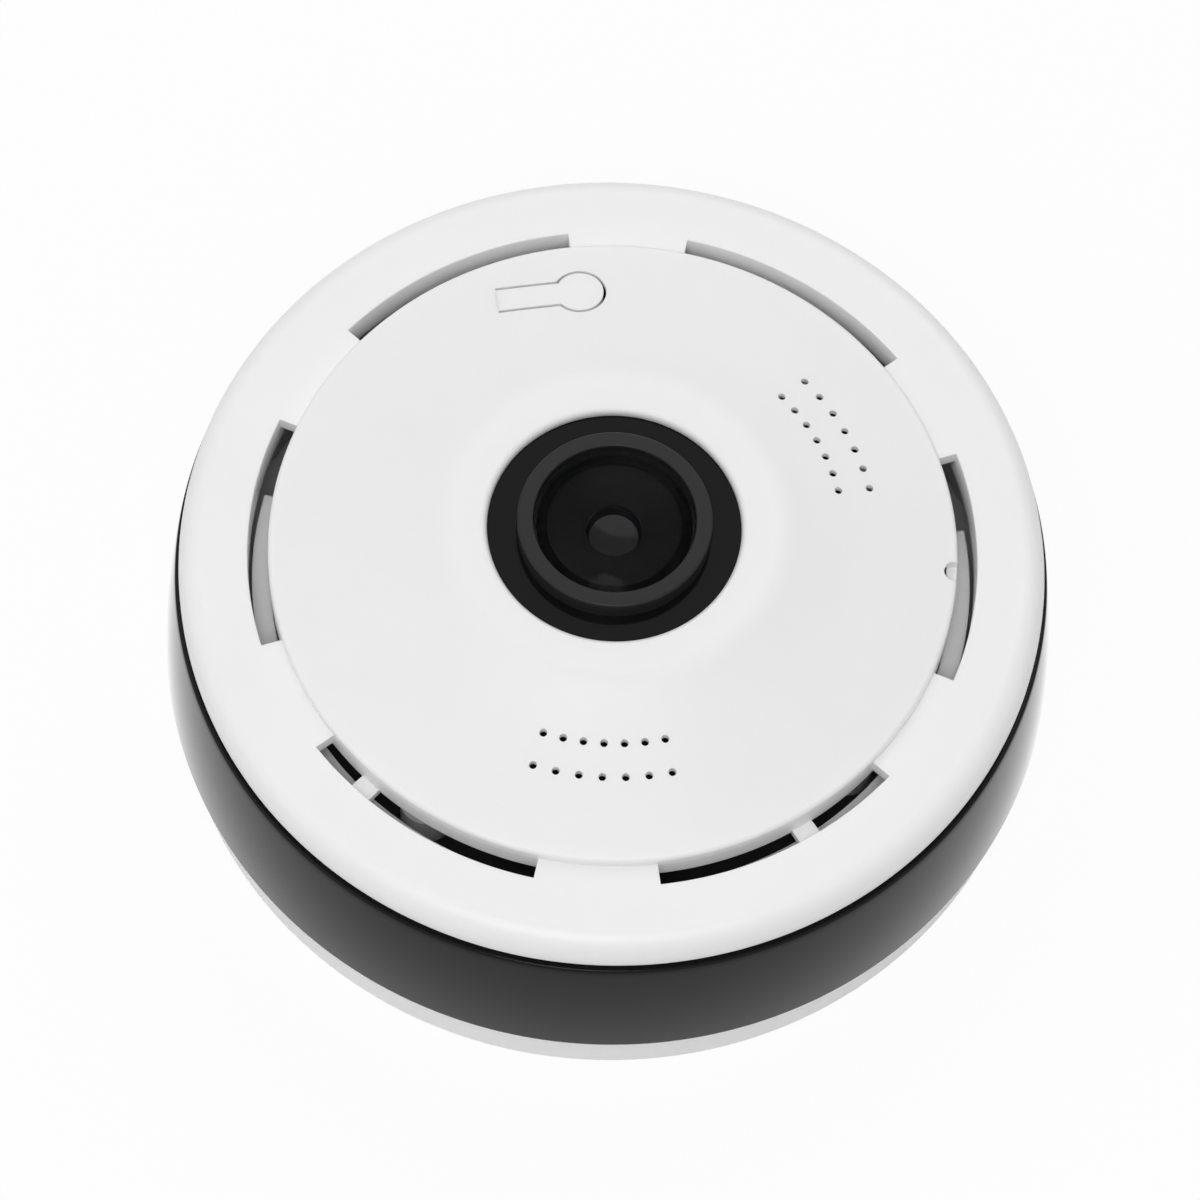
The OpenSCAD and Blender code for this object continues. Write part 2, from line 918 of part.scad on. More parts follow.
module speaker_gasket() {
    color("dimgray")
        polar(speaker_r, speaker_angle)
            translate([0, 0, z_speaker])
                difference() {
                    cylinder(h = gasket_t, d = speaker_d);
                    translate([0, 0, -over])
                        cylinder(h = gasket_t + 2 * over, d = speaker_d - 2 * gasket_w);
                }
}

module microphone() {
    color("silver")
        polar(mic_r, mic_angle)
            translate([0, 0, z_mic])
                cylinder(h = mic_h, d = mic_d);
}

module microphone_boot() {
    color("black")
        polar(mic_r, mic_angle)
            translate([0, 0, z_mic])
                difference() {
                    cylinder(h = mic_h + boot_t, d = mic_d + 2 * boot_t);
                    translate([0, 0, -over])
                        cylinder(h = mic_h + over, d = mic_d);
                    cylinder(h = mic_h + boot_t + over, d = mic_d * mic_hole_share);
                }
}

// Puts its children at the memory card, with +X out of the casing.
module at_card() {
    rotate([0, 0, card_angle])
        children();
}

module main_board() {
    inlet_tongue = inlet_body_w + 2 * tongue_side;
    card_tongue = card_body_w + 2 * card_side;
    color("#1c2420")
        difference() {
            union() {
                translate([0, 0, z_board])
                    cylinder(h = board_t, r = board_r);
                translate([-inlet_tongue / 2, 0, z_board])
                    cube([inlet_tongue, inlet_end, board_t]);
                at_card()
                    translate([0, -card_tongue / 2, z_board])
                        cube([card_end, card_tongue, board_t]);
            }
            for (a = post_angles)
                polar(post_r, a)
                    translate([0, 0, z_board - over])
                        cylinder(h = board_t + 2 * over, d = post_d + 2 * fit);
            for (a = boss_angles)
                polar(boss_r, a)
                    translate([0, 0, z_board - over])
                        cylinder(h = board_t + 2 * over, d = pin_shank_d + fit);
            for (sx = [-1, 1])
                for (sy = [-1, 1])
                    translate([sx * stand_xy, sy * stand_xy, z_board - over])
                        cylinder(h = board_t + 2 * over, d = stand_d + 2 * fit);
        }
}

module processor() {
    color("black")
        translate(chip_xy)
            block([chip_w, chip_w, chip_h], z_parts);
}

module heat_sink() {
    step = (sink_w - fin_t) / (fin_n - 1);
    color("silver")
        translate([chip_xy[0], chip_xy[1], z_parts + chip_h]) {
            block([sink_w, sink_w, sink_base_h], 0);
            for (i = [0 : fin_n - 1])
                translate([-sink_w / 2 + i * step, -sink_w / 2, 0])
                    cube([fin_t, sink_w, sink_h]);
        }
}

module memory_chips() {
    color("black")
        for (p = flash_places)
            translate(p)
                block([flash_w, flash_len, flash_h], z_parts);
}

module wifi_module() {
    color("silver")
        translate(wifi_xy)
            block([wifi_w, wifi_len, wifi_h], z_parts);
}

module wifi_antenna() {
    z1 = z_parts + antenna_lift;
    color("goldenrod")
        arc(ring_in - antenna_t, ring_in, z1, z1 + antenna_h, antenna_mid_angle, antenna_angle);
}

module switch_body() {
    color("black")
        at_tab()
            difference() {
                block([switch_w, switch_w, switch_h], z_parts);
                translate([0, 0, z_seat - press_travel - run])
                    cylinder(h = switch_h, d = plunger_d + 2 * run);
            }
}

module switch_plunger() {
    color("brown")
        at_tab()
            translate([0, 0, z_seat])
                cylinder(h = z_plunger - z_seat, d = plunger_d);
}

module power_inlet() {
    hollow_w = inlet_body_w - 2 * inlet_shell_t;
    hollow_h = inlet_body_h - 2 * inlet_shell_t;
    color("silver")
        translate([0, inlet_end + inlet_lip, 0])
            difference() {
                translate([0, -inlet_body_len / 2, 0])
                    block([inlet_body_w, inlet_body_len, inlet_body_h], z_parts);
                translate([0, (over - inlet_hollow) / 2, 0])
                    difference() {
                        block([hollow_w, inlet_hollow + over, hollow_h], z_parts + inlet_shell_t);
                        block([inlet_tongue_w, inlet_hollow + over, inlet_tongue_h],
                            z_inlet - inlet_tongue_h / 2);
                    }
            }
}

module card_socket() {
    depth = card_len - card_proud + card_air;
    color("silver")
        at_card()
            difference() {
                translate([card_end - card_body_len, -card_body_w / 2, z_parts])
                    cube([card_body_len, card_body_w, card_body_h]);
                translate([card_end - depth, -card_w / 2 - card_air, z_card - card_air])
                    cube([depth + over, card_w + 2 * card_air, card_t + 2 * card_air]);
            }
}

module memory_card() {
    color("black")
        at_card()
            translate([card_end + card_proud, -card_w / 2, z_card])
                union() {
                    linear_extrude(card_t)
                        polygon([
                            [-card_len, 0], [0, 0], [0, card_w],
                            [card_cut - card_len, card_w], [-card_len, card_w - card_cut]
                        ]);
                    translate([-ridge_w, 0, 0])
                        cube([ridge_w, card_w, card_t + ridge_h]);
                }
}

// The band's outer face swells on a wide arc between its two edges.
module band_section() {
    back = swell_r - band_bulge;
    centre = [
        (base_r + band_top_r) / 2 - back * band_h / band_side,
        (z_band + z_groove) / 2 - back * band_lean / band_side
    ];
    difference() {
        intersection() {
            polygon([
                [base_r - wall, z_band], [base_r, z_band], [base_r + wall, z_band + wall],
                [band_top_r + wall, z_groove], [ledge_in, z_groove],
                [ledge_in, z_groove - ledge_t], [band_top_r - wall, z_ledge_foot]
            ]);
            translate(centre)
                circle(swell_r, $fn = 8 * $fn);
        }
        corner(band_top_r, z_groove, edge_round / 2);
    }
}

module side_band() {
    across = inlet_w - 2 * inlet_round;
    high = inlet_h - 2 * inlet_round;
    deep = base_r - inlet_end + over + wall;
    color("#17181a")
        difference() {
            rotate_extrude()
                band_section();
            translate([0, base_r + over, z_inlet])
                rotate([90, 0, 0])
                    linear_extrude(deep)
                        union() {
                            square([inlet_w, high], center = true);
                            square([across, inlet_h], center = true);
                            for (sx = [-1, 1])
                                for (sy = [-1, 1])
                                    translate([sx * across / 2, sy * high / 2])
                                        circle(inlet_round);
                        }
            at_card()
                translate([base_r, 0, 0])
                    block([2 * (base_r - card_end), card_slot_w, card_slot_h],
                        z_card + card_t / 2 - card_slot_h / 2);
        }
}

// The base ring, its inner rim and its floor, as a half section.
module base_section(br) {
    rim_in = rim_foot_r - rim_foot_t;
    z_rim = z_band + rim_foot_h;
    difference() {
        polygon([
            [0, z_recess], [recess_r, z_recess], [recess_r, z_base], [br, z_base],
            [br, z_band], [rim_foot_r, z_band], [rim_foot_r, z_rim], [rim_in, z_rim],
            [rim_in, z_base + wall], [recess_r + wall, z_base + wall],
            [recess_r + wall, z_floor], [0, z_floor]
        ]);
        corner(br, z_band, edge_round);
    }
}

// The ledges of the twist lock, each with a rib that stops the plate.
module lock_ledges() {
    r1 = recess_r - ledge_reach;
    r2 = recess_r + wall / 2;
    for (i = [0 : lock_n - 1]) {
        at = lock_first_angle + i * 360 / lock_n;
        arc(r1, r2, z_ledge, z_ledge + ledge_h, at, 2 * ledge_half_angle);
        arc(r1, r2, z_ledge, z_recess + floor_t / 2,
            at - lock_half_angle - stop_clear_angle - stop_angle / 2, stop_angle);
    }
}

// The curved wall that stands on the base's floor below the front slots.
module slot_wall_ring() {
    color("white")
        arc(ring_in, ring_out, z_floor, z_wall, ring_mid_angle, ring_angle);
}

module base_shell() {
    color("white")
        difference() {
            union() {
                rotate_extrude()
                    base_section(base_r - base_inset);
                for (a = post_angles)
                    polar(post_r, a)
                        translate([0, 0, z_recess])
                            cylinder(h = z_post - post_gap - z_recess, d = post_d);
                for (a = boss_angles)
                    polar(boss_r, a)
                        translate([0, 0, z_recess])
                            cylinder(h = z_board - z_recess, d = boss_d);
                for (sx = [-1, 1])
                    for (sy = [-1, 1])
                        translate([sx * stand_xy, sy * stand_xy, z_recess])
                            cylinder(h = z_sensor_board - z_recess, d = stand_d);
                lock_ledges();
            }
            for (a = post_angles)
                polar(post_r, a) {
                    translate([0, 0, z_recess - over])
                        cylinder(h = z_head - z_recess + over, d = head_d + fit);
                    translate([0, 0, z_recess])
                        cylinder(h = z_post - z_recess + over, d = shank_d + fit);
                }
            for (a = boss_angles)
                polar(boss_r, a)
                    translate([0, 0, z_parts - pin_hole_len])
                        cylinder(h = pin_hole_len, d = pin_shank_d + 2 * run);
            for (sx = [-1, 1])
                for (sy = [-1, 1])
                    translate([sx * stand_xy, sy * stand_xy, z_sensor - pin_hole_len])
                        cylinder(h = pin_hole_len, d = pin_shank_d + 2 * run);
        }
}

// One slotted hole for a wall screw, along X.
module screw_slot(x) {
    run_len = (screw_slot_len - screw_slot_w) / 2;
    translate([x, 0, -over])
        linear_extrude(mount_t + 2 * over)
            union() {
                square([2 * run_len, screw_slot_w], center = true);
                for (side = [-1, 1])
                    translate([side * run_len, 0])
                        circle(d = screw_slot_w);
            }
}

module mounting_plate() {
    color("whitesmoke")
        difference() {
            union() {
                cylinder(h = mount_t, r = mount_r);
                ring(mount_r - mount_rim, mount_r, mount_t / 2, z_lock + lock_t);
                ring(rib_ring_d / 2, rib_ring_d / 2 + mount_rim, mount_t / 2, mount_t + rib_ring_h);
                for (i = [0 : lock_n - 1])
                    arc(mount_r - mount_rim / 2, mount_r + lock_reach, z_lock, z_lock + lock_t,
                        lock_first_angle + i * 360 / lock_n, 2 * lock_half_angle);
            }
            translate([0, 0, -over])
                cylinder(h = mount_t + 2 * over, d = hub_hole_d);
            for (side = [-1, 1])
                screw_slot(side * screw_pitch / 2);
        }
}

module cover_screws() {
    color("silver")
        for (a = post_angles)
            polar(post_r, a)
                translate([0, 0, z_head - head_h])
                    mirror([0, 0, 1])
                        screw(head_d, head_h, shank_d, shank_len);
}

module board_screws() {
    color("silver") {
        for (a = boss_angles)
            polar(boss_r, a)
                translate([0, 0, z_parts + pin_head_h])
                    screw(pin_head_d, pin_head_h, pin_shank_d, pin_shank_len);
        for (sx = [-1, 1])
            for (sy = [-1, 1])
                translate([sx * stand_xy, sy * stand_xy, z_sensor + pin_head_h])
                    screw(pin_head_d, pin_head_h, pin_shank_d, pin_shank_len);
    }
}

module holder_screws() {
    color("silver")
        for (side = [-1, 1])
            translate([side * ear_x, 0, z_sensor + holder_wall + pin_head_h])
                screw(pin_head_d, pin_head_h, pin_shank_d, sensor_board_t + holder_wall);
}

front_cover();
reset_tab();
ir_window();
lens_barrel();
front_lens();
lens_baffle();
inner_lens();
aperture_ring();
rear_lens();
lens_holder();
ir_filter();
image_sensor();
sensor_board();
sensor_cable();
cable_sockets();
lamp_board();
infrared_lamps();
loudspeaker();
speaker_gasket();
microphone();
microphone_boot();
main_board();
processor();
heat_sink();
memory_chips();
wifi_module();
wifi_antenna();
switch_body();
switch_plunger();
power_inlet();
card_socket();
memory_card();
side_band();
base_shell();
slot_wall_ring();
mounting_plate();
cover_screws();
board_screws();
holder_screws();
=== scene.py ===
from math import cos, hypot, pi, radians, sin, sqrt, tan

import bmesh
import bpy
import numpy as np
from bpy.props import FloatProperty, FloatVectorProperty, IntProperty, PointerProperty
from mathutils import Matrix, Vector


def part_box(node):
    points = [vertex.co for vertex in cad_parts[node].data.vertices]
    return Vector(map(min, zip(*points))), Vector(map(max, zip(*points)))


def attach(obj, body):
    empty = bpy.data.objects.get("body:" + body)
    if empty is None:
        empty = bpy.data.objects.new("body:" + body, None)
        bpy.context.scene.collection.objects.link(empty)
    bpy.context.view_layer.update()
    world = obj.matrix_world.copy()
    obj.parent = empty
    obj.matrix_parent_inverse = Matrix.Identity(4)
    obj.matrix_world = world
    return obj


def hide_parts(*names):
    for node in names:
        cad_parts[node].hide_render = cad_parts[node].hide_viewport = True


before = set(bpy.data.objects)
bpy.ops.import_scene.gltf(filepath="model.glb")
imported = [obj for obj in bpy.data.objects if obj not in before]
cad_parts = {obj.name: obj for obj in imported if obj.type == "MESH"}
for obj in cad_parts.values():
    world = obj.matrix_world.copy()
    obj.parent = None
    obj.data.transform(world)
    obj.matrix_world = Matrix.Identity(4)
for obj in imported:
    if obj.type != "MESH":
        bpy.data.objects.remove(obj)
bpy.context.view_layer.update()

bl_info = {
    "name": "Fisheye camera",
    "version": (1, 0, 0),
    "blender": (4, 5, 0),
    "location": "3D View > Sidebar > Fisheye camera",
    "description": "Dresses a round ceiling camera with a fisheye lens for a studio picture",
    "category": "Object",
}


# Sizes and colours

def size(name, description, default):
    """A length in metres that the panel shows in scene units."""
    return FloatProperty(name=name, description=description, default=default, min=0.0,
                         precision=5, unit="LENGTH", subtype="DISTANCE")


def tint(name, description, default):
    """A colour that the panel shows as a swatch."""
    return FloatVectorProperty(name=name, description=description, default=default,
                               min=0.0, max=1.0, size=3, subtype="COLOR")


class CoverSizes(bpy.types.PropertyGroup):
    radius: size("Radius", "Radius of the front cover", 0.05335)
    wall: size("Wall", "Thickness of the cover's outer ring", 0.002)
    skin: size("Thin skin", "Thickness of the coned plate at the sound holes", 0.0009)
    low: size("Lower edge", "Height of the cover's lower edge", 0.0286)
    ring_z: size("Ring height", "Height of the flat outer ring", 0.0326)
    rim_round: size("Rim rounding", "Rounding of the rim", 0.003)
    plate_r: size("Plate radius", "Radius of the raised plate", 0.0423)
    step: size("Plate step", "Height of the plate's edge above the ring", 0.0013)
    step_round: size("Plate rounding", "Rounding of the plate's edge", 0.0007)
    tilt: FloatProperty(name="Plate slope", description="Slope of the plate towards its middle",
                        default=radians(12), subtype="ANGLE", unit="ROTATION")
    dome_r: size("Dome radius", "Radius at which the dome starts to rise", 0.033)
    dome_h: size("Dome height", "Height of the dome above its foot", 0.00335)
    top_r: size("Top radius", "Radius of the dome's flat top", 0.0207)
    top_round: size("Top rounding", "Rounding at the edge of the flat top", 0.008)
    eye_r: size("Opening radius", "Radius of the opening for the lens", 0.0155)
    eye_round: size("Opening rounding", "Rounding of the opening's edge", 0.0008)
    eye_lip: size("Opening lip", "Height of the lip round the opening", 0.0011)
    tube_gap: size("Collar place", "Distance of the lens collar from the opening's edge", 0.0031)
    tube_wall: size("Collar wall", "Wall of the collar round the window", 0.0014)
    tube_h: size("Collar depth", "Depth of the collar below the flat top", 0.0065)
    skirt_in: size("Skirt inset", "How far the skirt stands inside the rim", 0.0016)
    skirt_wall: size("Skirt wall", "Wall of the skirt that enters the band", 0.0017)
    skirt_h: size("Skirt depth", "Depth of the skirt below the cover's lower edge", 0.0009)
    slot_w: size("Slot width", "Width of a vent slot", 0.0025)
    slot_angle: FloatProperty(name="Slot angle", description="Length of a vent slot",
                              default=radians(40.6), subtype="ANGLE", unit="ROTATION")
    slot_flare: size("Slot edge", "Rounding of a slot's upper edge", 0.00016)
    slot_wall: size("Slot walls", "Thickness of the walls that line the slots", 0.0013)
    inner_h: size("Inner depth", "Depth of the slots' inner wall below the ring", 0.0027)
    outer_h: size("Outer depth", "Depth of the slots' outer wall below the ring", 0.0046)
    bridge_w: size("Bridge width", "Width of the two bridges", 0.0028)
    bridge_h: size("Bridge height", "Height of the two bridges", 0.0012)
    bridge_in: size("Bridge reach", "How far a bridge reaches into the slot's walls", 0.0004)
    bridge_lap: size("Bridge lap", "How far a bridge reaches up the slot's walls", 0.0003)
    hole_r: size("Hole radius", "Radius of a sound hole", 0.000475)
    hole_in: size("Inner row", "Radius of the inner row of sound holes", 0.0282)
    hole_out: size("Outer row", "Radius of the outer row of sound holes", 0.0322)
    notch_r: size("Notch radius", "Radius of the half-round notch", 0.0013)
    notch_in: size("Notch inset", "Distance of the notch's middle from the plate's edge", 0.0004)
    steps: IntProperty(name="Steps", description="Facets round the cover", default=360,
                       min=72, max=720)


class TabSizes(bpy.types.PropertyGroup):
    place_r: size("Place", "Distance of the tab's head from the lens axis", 0.0347)
    place_a: FloatProperty(name="Angle", description="Angle of the tab's head",
                           default=radians(99.5), subtype="ANGLE", unit="ROTATION")
    length: size("Length", "Length from the root to the head's middle", 0.0104)
    head_r: size("Head radius", "Radius of the tab's head", 0.003)
    width: size("Width", "Width of the tab's neck", 0.0033)
    slit: size("Slit", "Width of the slit round the tab", 0.00035)
    thick: size("Thickness", "Thickness of the tab", 0.0012)
    post_r: size("Post radius", "Radius of the post under the tab's head", 0.0012)


class CasingSizes(bpy.types.PropertyGroup):
    radius: size("Radius", "Radius of the casing at the foot of the band", 0.0559)
    top_r: size("Top radius", "Radius of the band's top edge", 0.0539)
    base_r: size("Base radius", "Radius of the base ring", 0.0548)
    base_z: size("Base height", "Height of the foot of the base ring", 0.0004)
    band_z: size("Band foot", "Height of the foot of the band", 0.0089)
    groove_z: size("Band top", "Height of the band's top edge", 0.0277)
    bulge: size("Swell", "How far the band's side swells", 0.0003)
    wall: size("Wall", "Wall thickness of the band and the base", 0.0022)
    edge: size("Edge rounding", "Rounding of the outer edges", 0.0005)
    foot_round: size("Foot rounding", "Rounding at the foot of the base ring", 0.0003)
    top_w: size("Band land", "Width of the band's top face", 0.0048)
    top_t: size("Band land height", "Height of the step at the band's top", 0.0018)
    plug_z: size("Plug height", "Height of the middle of the plug's opening", 0.0184)
    plug_w: size("Plug width", "Width of the plug's opening", 0.0115)
    plug_h: size("Plug opening height", "Height of the plug's opening", 0.0075)
    plug_round: size("Plug rounding", "Rounding of the plug opening's corners", 0.002)
    card_w: size("Card width", "Width of the card's opening", 0.0126)
    card_low: size("Card foot", "Height of the lower edge of the card's opening", 0.01675)
    card_high: size("Card top", "Height of the upper edge of the card's opening", 0.01915)


class BaseSizes(bpy.types.PropertyGroup):
    recess_r: size("Recess radius", "Radius of the recess for the mounting plate", 0.0472)
    ceiling: size("Recess height", "Height of the recess's ceiling", 0.0056)
    floor: size("Floor height", "Height of the base's inner floor", 0.0076)
    rim_r: size("Rim radius", "Outer radius of the rim that stands inside the band", 0.05309)
    rim_in: size("Rim bore", "Inner radius of that rim", 0.05129)
    rim_top: size("Rim height", "Height of that rim's top", 0.0119)
    ledge_in: size("Ledge bore", "Inner radius of the twist lock's ledges", 0.044)
    ledge_out: size("Ledge radius", "Outer radius of the ledges, inside the recess wall", 0.0483)
    ledge_low: size("Ledge foot", "Height of the ledges' underside", 0.0013)
    ledge_top: size("Ledge top", "Height of the ledges' upper side", 0.0027)
    rib_top: size("Stop top", "Height of the stops beside the ledges", 0.0066)
    rooted: size("Post root", "How far the posts reach into the base's floor", 0.0005)


class LensSizes(bpy.types.PropertyGroup):
    ring_r: size("Ring radius", "Outer radius of the lens ring", 0.0119)
    ring_h: size("Ring height", "Height of the ring's straight side", 0.0052)
    ring_slope: size("Ring slope", "Width and height of the slope under the ring", 0.0022)
    lip_round: size("Outer rounding", "Rounding of the ring's outer edge", 0.0003)
    bore_round: size("Inner rounding", "Rounding of the ring's inner edge", 0.0002)
    tail_r: size("Tail radius", "Radius of the barrel's tail", 0.006)
    tail_bore: size("Tail bore", "Radius of the bore at the tail's foot", 0.003)
    glass_r: size("Glass radius", "Radius of the front glass", 0.0099)
    glass_drop: size("Glass drop", "Depth of the glass's edge below the ring", 0.00035)
    glass_edge: size("Glass edge", "Height of the front glass's edge", 0.0016)
    baffle_h: size("Baffle height", "Height of the baffle behind the glass", 0.0019)
    inner_r: size("Inner lens radius", "Radius of the room for the inner lens", 0.0062)
    inner_h: size("Inner lens height", "Height of the room for the inner lens", 0.0026)
    rear_r: size("Rear lens radius", "Radius of the room for the rear lens", 0.0043)
    rear_h: size("Rear lens height", "Height of the room for the rear lens", 0.004)
    window_r: size("Window radius", "Outer radius of the black window", 0.0184)
    window_gap: size("Window gap", "Gap between the window and the lens ring", 0.00005)


class Finishes(bpy.types.PropertyGroup):
    white: tint("White plastic", "Colour of the cover and the base", (0.90, 0.90, 0.90))
    black: tint("Black plastic", "Colour of the side band", (0.008, 0.008, 0.009))
    window: tint("Lens window", "Colour of the window round the lens", (0.005, 0.005, 0.0053))
    ring: tint("Lens ring", "Colour of the barrel's front ring", (0.018, 0.018, 0.0185))
    grain: size("Grain", "Size of the grain on moulded plastic", 0.00022)


class StudioSettings(bpy.types.PropertyGroup):
    fill: FloatProperty(name="Fill", description="Strength of the even light from all round",
                        default=0.385, min=0.0, max=2.0)
    key: FloatProperty(name="Key", description="Power of the soft lamp on the left",
                       default=1.2, min=0.0, unit="POWER")
    back: FloatProperty(name="Back", description="Power of the soft lamp behind",
                        default=2.9, min=0.0, unit="POWER")
    front: FloatProperty(name="Front", description="Power of the lamp at the front, high up",
                         default=4.4, min=0.0, unit="POWER")
    floor: tint("Floor", "Colour of the floor", (0.9, 0.9, 0.9))


# Shader maths

class Value:
    """A socket whose sums become Math nodes."""

    def __init__(self, finish, socket):
        self.finish = finish
        self.socket = socket

    def _sum(self, operation, *terms):
        return self.finish.node("ShaderNodeMath", {"operation": operation}, dict(enumerate(terms)))

    def __add__(self, other):
        return self._sum("ADD", self, other)

    __radd__ = __add__

    def __sub__(self, other):
        return self._sum("SUBTRACT", self, other)

    def __rsub__(self, other):
        return self._sum("SUBTRACT", other, self)

    def __mul__(self, other):
        return self._sum("MULTIPLY", self, other)

    __rmul__ = __mul__

    def __pow__(self, other):
        return self._sum("POWER", self, other)

    def __rpow__(self, other):
        return self._sum("POWER", other, self)

    def most(self, other):
        return self._sum("MAXIMUM", self, other)


class Finish:
    """A node tree and the ways to add to it."""

    def __init__(self, tree):
        self.tree = tree
        tree.nodes.clear()

    def node(self, kind, settings=None, inputs=None, output=0):
        """Adds one node. Settings are set first, then its sockets by name or number."""
        made = self.tree.nodes.new(kind)
        for name, value in (settings or {}).items():
            setattr(made, name, value)
        for name, value in (inputs or {}).items():
            if isinstance(value, Value):
                self.tree.links.new(value.socket, made.inputs[name])
            else:
                made.inputs[name].default_value = value
        return Value(self, made.outputs[output])

    def place(self):
        """The place on the piece, in metres."""
        return self.node("ShaderNodeTexCoord", output="Object")

    def noise(self, feature, detail=2.0, roughness=0.5):
        """Noise whose features are that long, in metres."""
        return self.node("ShaderNodeTexNoise", {}, {
            "Vector": self.place(), "Scale": 1 / feature, "Detail": detail,
            "Roughness": roughness})

    def blend(self, mask, low, high):
        """A colour between low and high by the mask."""
        return self.node("ShaderNodeMix", {"data_type": "RGBA"},
                         {0: mask, 6: (*low, 1), 7: (*high, 1)}, output=2)

    def mottled(self, mask, colour, share):
        """The colour, a share darker and lighter by the mask."""
        return self.blend(mask, shade(colour, 1 - share), shade(colour, 1 + share))

    def bump(self, height, depth):
        """A normal that the height tips, by a depth in metres."""
        return self.node("ShaderNodeBump", {}, {"Height": height, "Distance": depth})

    def to_output(self, kind, surface):
        end = self.tree.nodes.new(kind)
        self.tree.links.new(surface.socket, end.inputs["Surface"])


def material(name, sockets, build=None):
    """A material on one principled shader; build adds what varies over the surface."""
    made = bpy.data.materials.new(name)
    made.use_nodes = True
    finish = Finish(made.node_tree)
    varying = build(finish) if build else {}
    surface = finish.node("ShaderNodeBsdfPrincipled", {}, {**sockets, **varying})
    finish.to_output("ShaderNodeOutputMaterial", surface)
    return made


def shade(colour, share):
    """The colour made lighter or darker by a share."""
    return tuple(min(1.0, c * share) for c in colour)


# How long the features of the finishes are and how deep their bumps, in metres
DRIFT = 0.018
HAZE = 0.011
FILM = 0.009
PEEL = 0.0016
PEEL_DEPTH = 0.000004
LINE_DEPTH = 0.000005
# How deep light goes into white plastic
LIGHT_DEPTH = 0.0015


def moulded(name, colour, roughness, grain, depth, level=0.5, spread=0.04, mottle=0.02,
            through=0.0):
    """Moulded plastic: a fine grain, and colour and gloss that drift a little."""
    def build(f):
        drift = f.noise(DRIFT, 3.0)
        fine = f.noise(grain, 2.0)
        return {
            "Base Color": f.mottled(drift, colour, mottle),
            "Roughness": drift * spread * 2 + (roughness - spread),
            "Normal": f.bump(fine, depth),
        }
    return material(name, {"Specular IOR Level": level, "Subsurface Weight": through,
                           "Subsurface Radius": (1, 1, 1), "Subsurface Scale": LIGHT_DEPTH}, build)


def glossy(name, colour, roughness, level=0.5, coat=0.0):
    """Polished plastic: a faint orange peel, thin hazy places and a coat seen aslant."""
    def build(f):
        haze = f.noise(HAZE, 4.0, 0.6)
        peel = f.noise(PEEL, 1.0)
        varying = {
            "Base Color": f.mottled(haze, colour, 0.1),
            "Roughness": haze ** 2 * 0.08 + roughness,
            "Normal": f.bump(peel, PEEL_DEPTH),
        }
        if coat:
            aslant = f.node("ShaderNodeLayerWeight", {}, {"Blend": 0.5}, "Facing")
            varying["Coat Weight"] = 1 - (1 - aslant ** 5 * coat).most(0)
        return varying
    return material(name, {"Specular IOR Level": level}, build)


def metal(name, colour, roughness, lines=0.0004):
    """Plated or turned metal with faint lines."""
    def build(f):
        streak = f.noise(lines, 3.0)
        return {
            "Base Color": f.blend(streak, shade(colour, 0.92), shade(colour, 1.06)),
            "Roughness": streak * 0.12 + roughness,
            "Normal": f.bump(streak, LINE_DEPTH),
        }
    return material(name, {"Metallic": 1.0}, build)


def glass(name, colour, roughness, level, alpha=1.0):
    """Coated glass; below an alpha of 1 the pieces behind it show."""
    def build(f):
        film = f.noise(FILM, 2.0)
        return {
            "Base Color": f.mottled(film, colour, 0.1),
            "Roughness": film * 0.02 + roughness,
        }
    return material(name, {"Specular IOR Level": level, "Alpha": alpha}, build)


FINISHES = {}


def finish_of(name):
    """The finish of that name, which has to be made first."""
    if name not in FINISHES:
        raise RuntimeError(f"the finish {name} isn't made yet")
    return FINISHES[name]


# Meshes: a shell is a list of points in metres and a list of faces

# Sections that reach the axis stop this short of it
AXIS_GAP = 0.0000001


def arc(centre, radius, start, end, count):
    """Points on an arc in a half section, by angles in degrees, both ends included."""
    return [(centre[0] + radius * cos(radians(start + (end - start) * i / count)),
             centre[1] + radius * sin(radians(start + (end - start) * i / count)))
            for i in range(count + 1)]


def along(a, b, count):
    """Points from a to b, without b."""
    return [(a[0] + (b[0] - a[0]) * i / count, a[1] + (b[1] - a[1]) * i / count)
            for i in range(count)]


def revolve(section, steps, start=0.0, turn=2 * pi):
    """A closed half section turned about Z, with end caps where the turn isn't full."""
    full = turn > 2 * pi - 1e-6
    rows = steps if full else steps + 1
    n = len(section)
    points = [(r * cos(start + turn * i / steps), r * sin(start + turn * i / steps), z)
              for i in range(rows) for r, z in section]
    faces = []
    for i in range(steps):
        a, b = i * n, (i + 1) % rows * n
        faces += [(a + j, b + j, b + (j + 1) % n, a + (j + 1) % n) for j in range(n)]
    if not full:
        faces += [tuple(range(n)), tuple(reversed(range(steps * n, steps * n + n)))]
    return points, faces


def prism(outline, low, high):
    """An outline in X and Y between two heights."""
    n = len(outline)
    points = [(x, y, z) for z in (low, high) for x, y in outline]
    faces = [tuple(reversed(range(n))), tuple(range(n, 2 * n))]
    faces += [(j, (j + 1) % n, n + (j + 1) % n, n + j) for j in range(n)]
    return points, faces


def disc(x, y, radius, count=24):
    """Points on a circle in X and Y."""
    return [(x + radius * cos(2 * pi * i / count), y + radius * sin(2 * pi * i / count))
            for i in range(count)]


def merged(*shells):
    """Several shells as one, side by side."""
    points, faces = [], []
    for p, f in shells:
        at = len(points)
        points += p
        faces += [tuple(i + at for i in face) for face in f]
    return points, faces


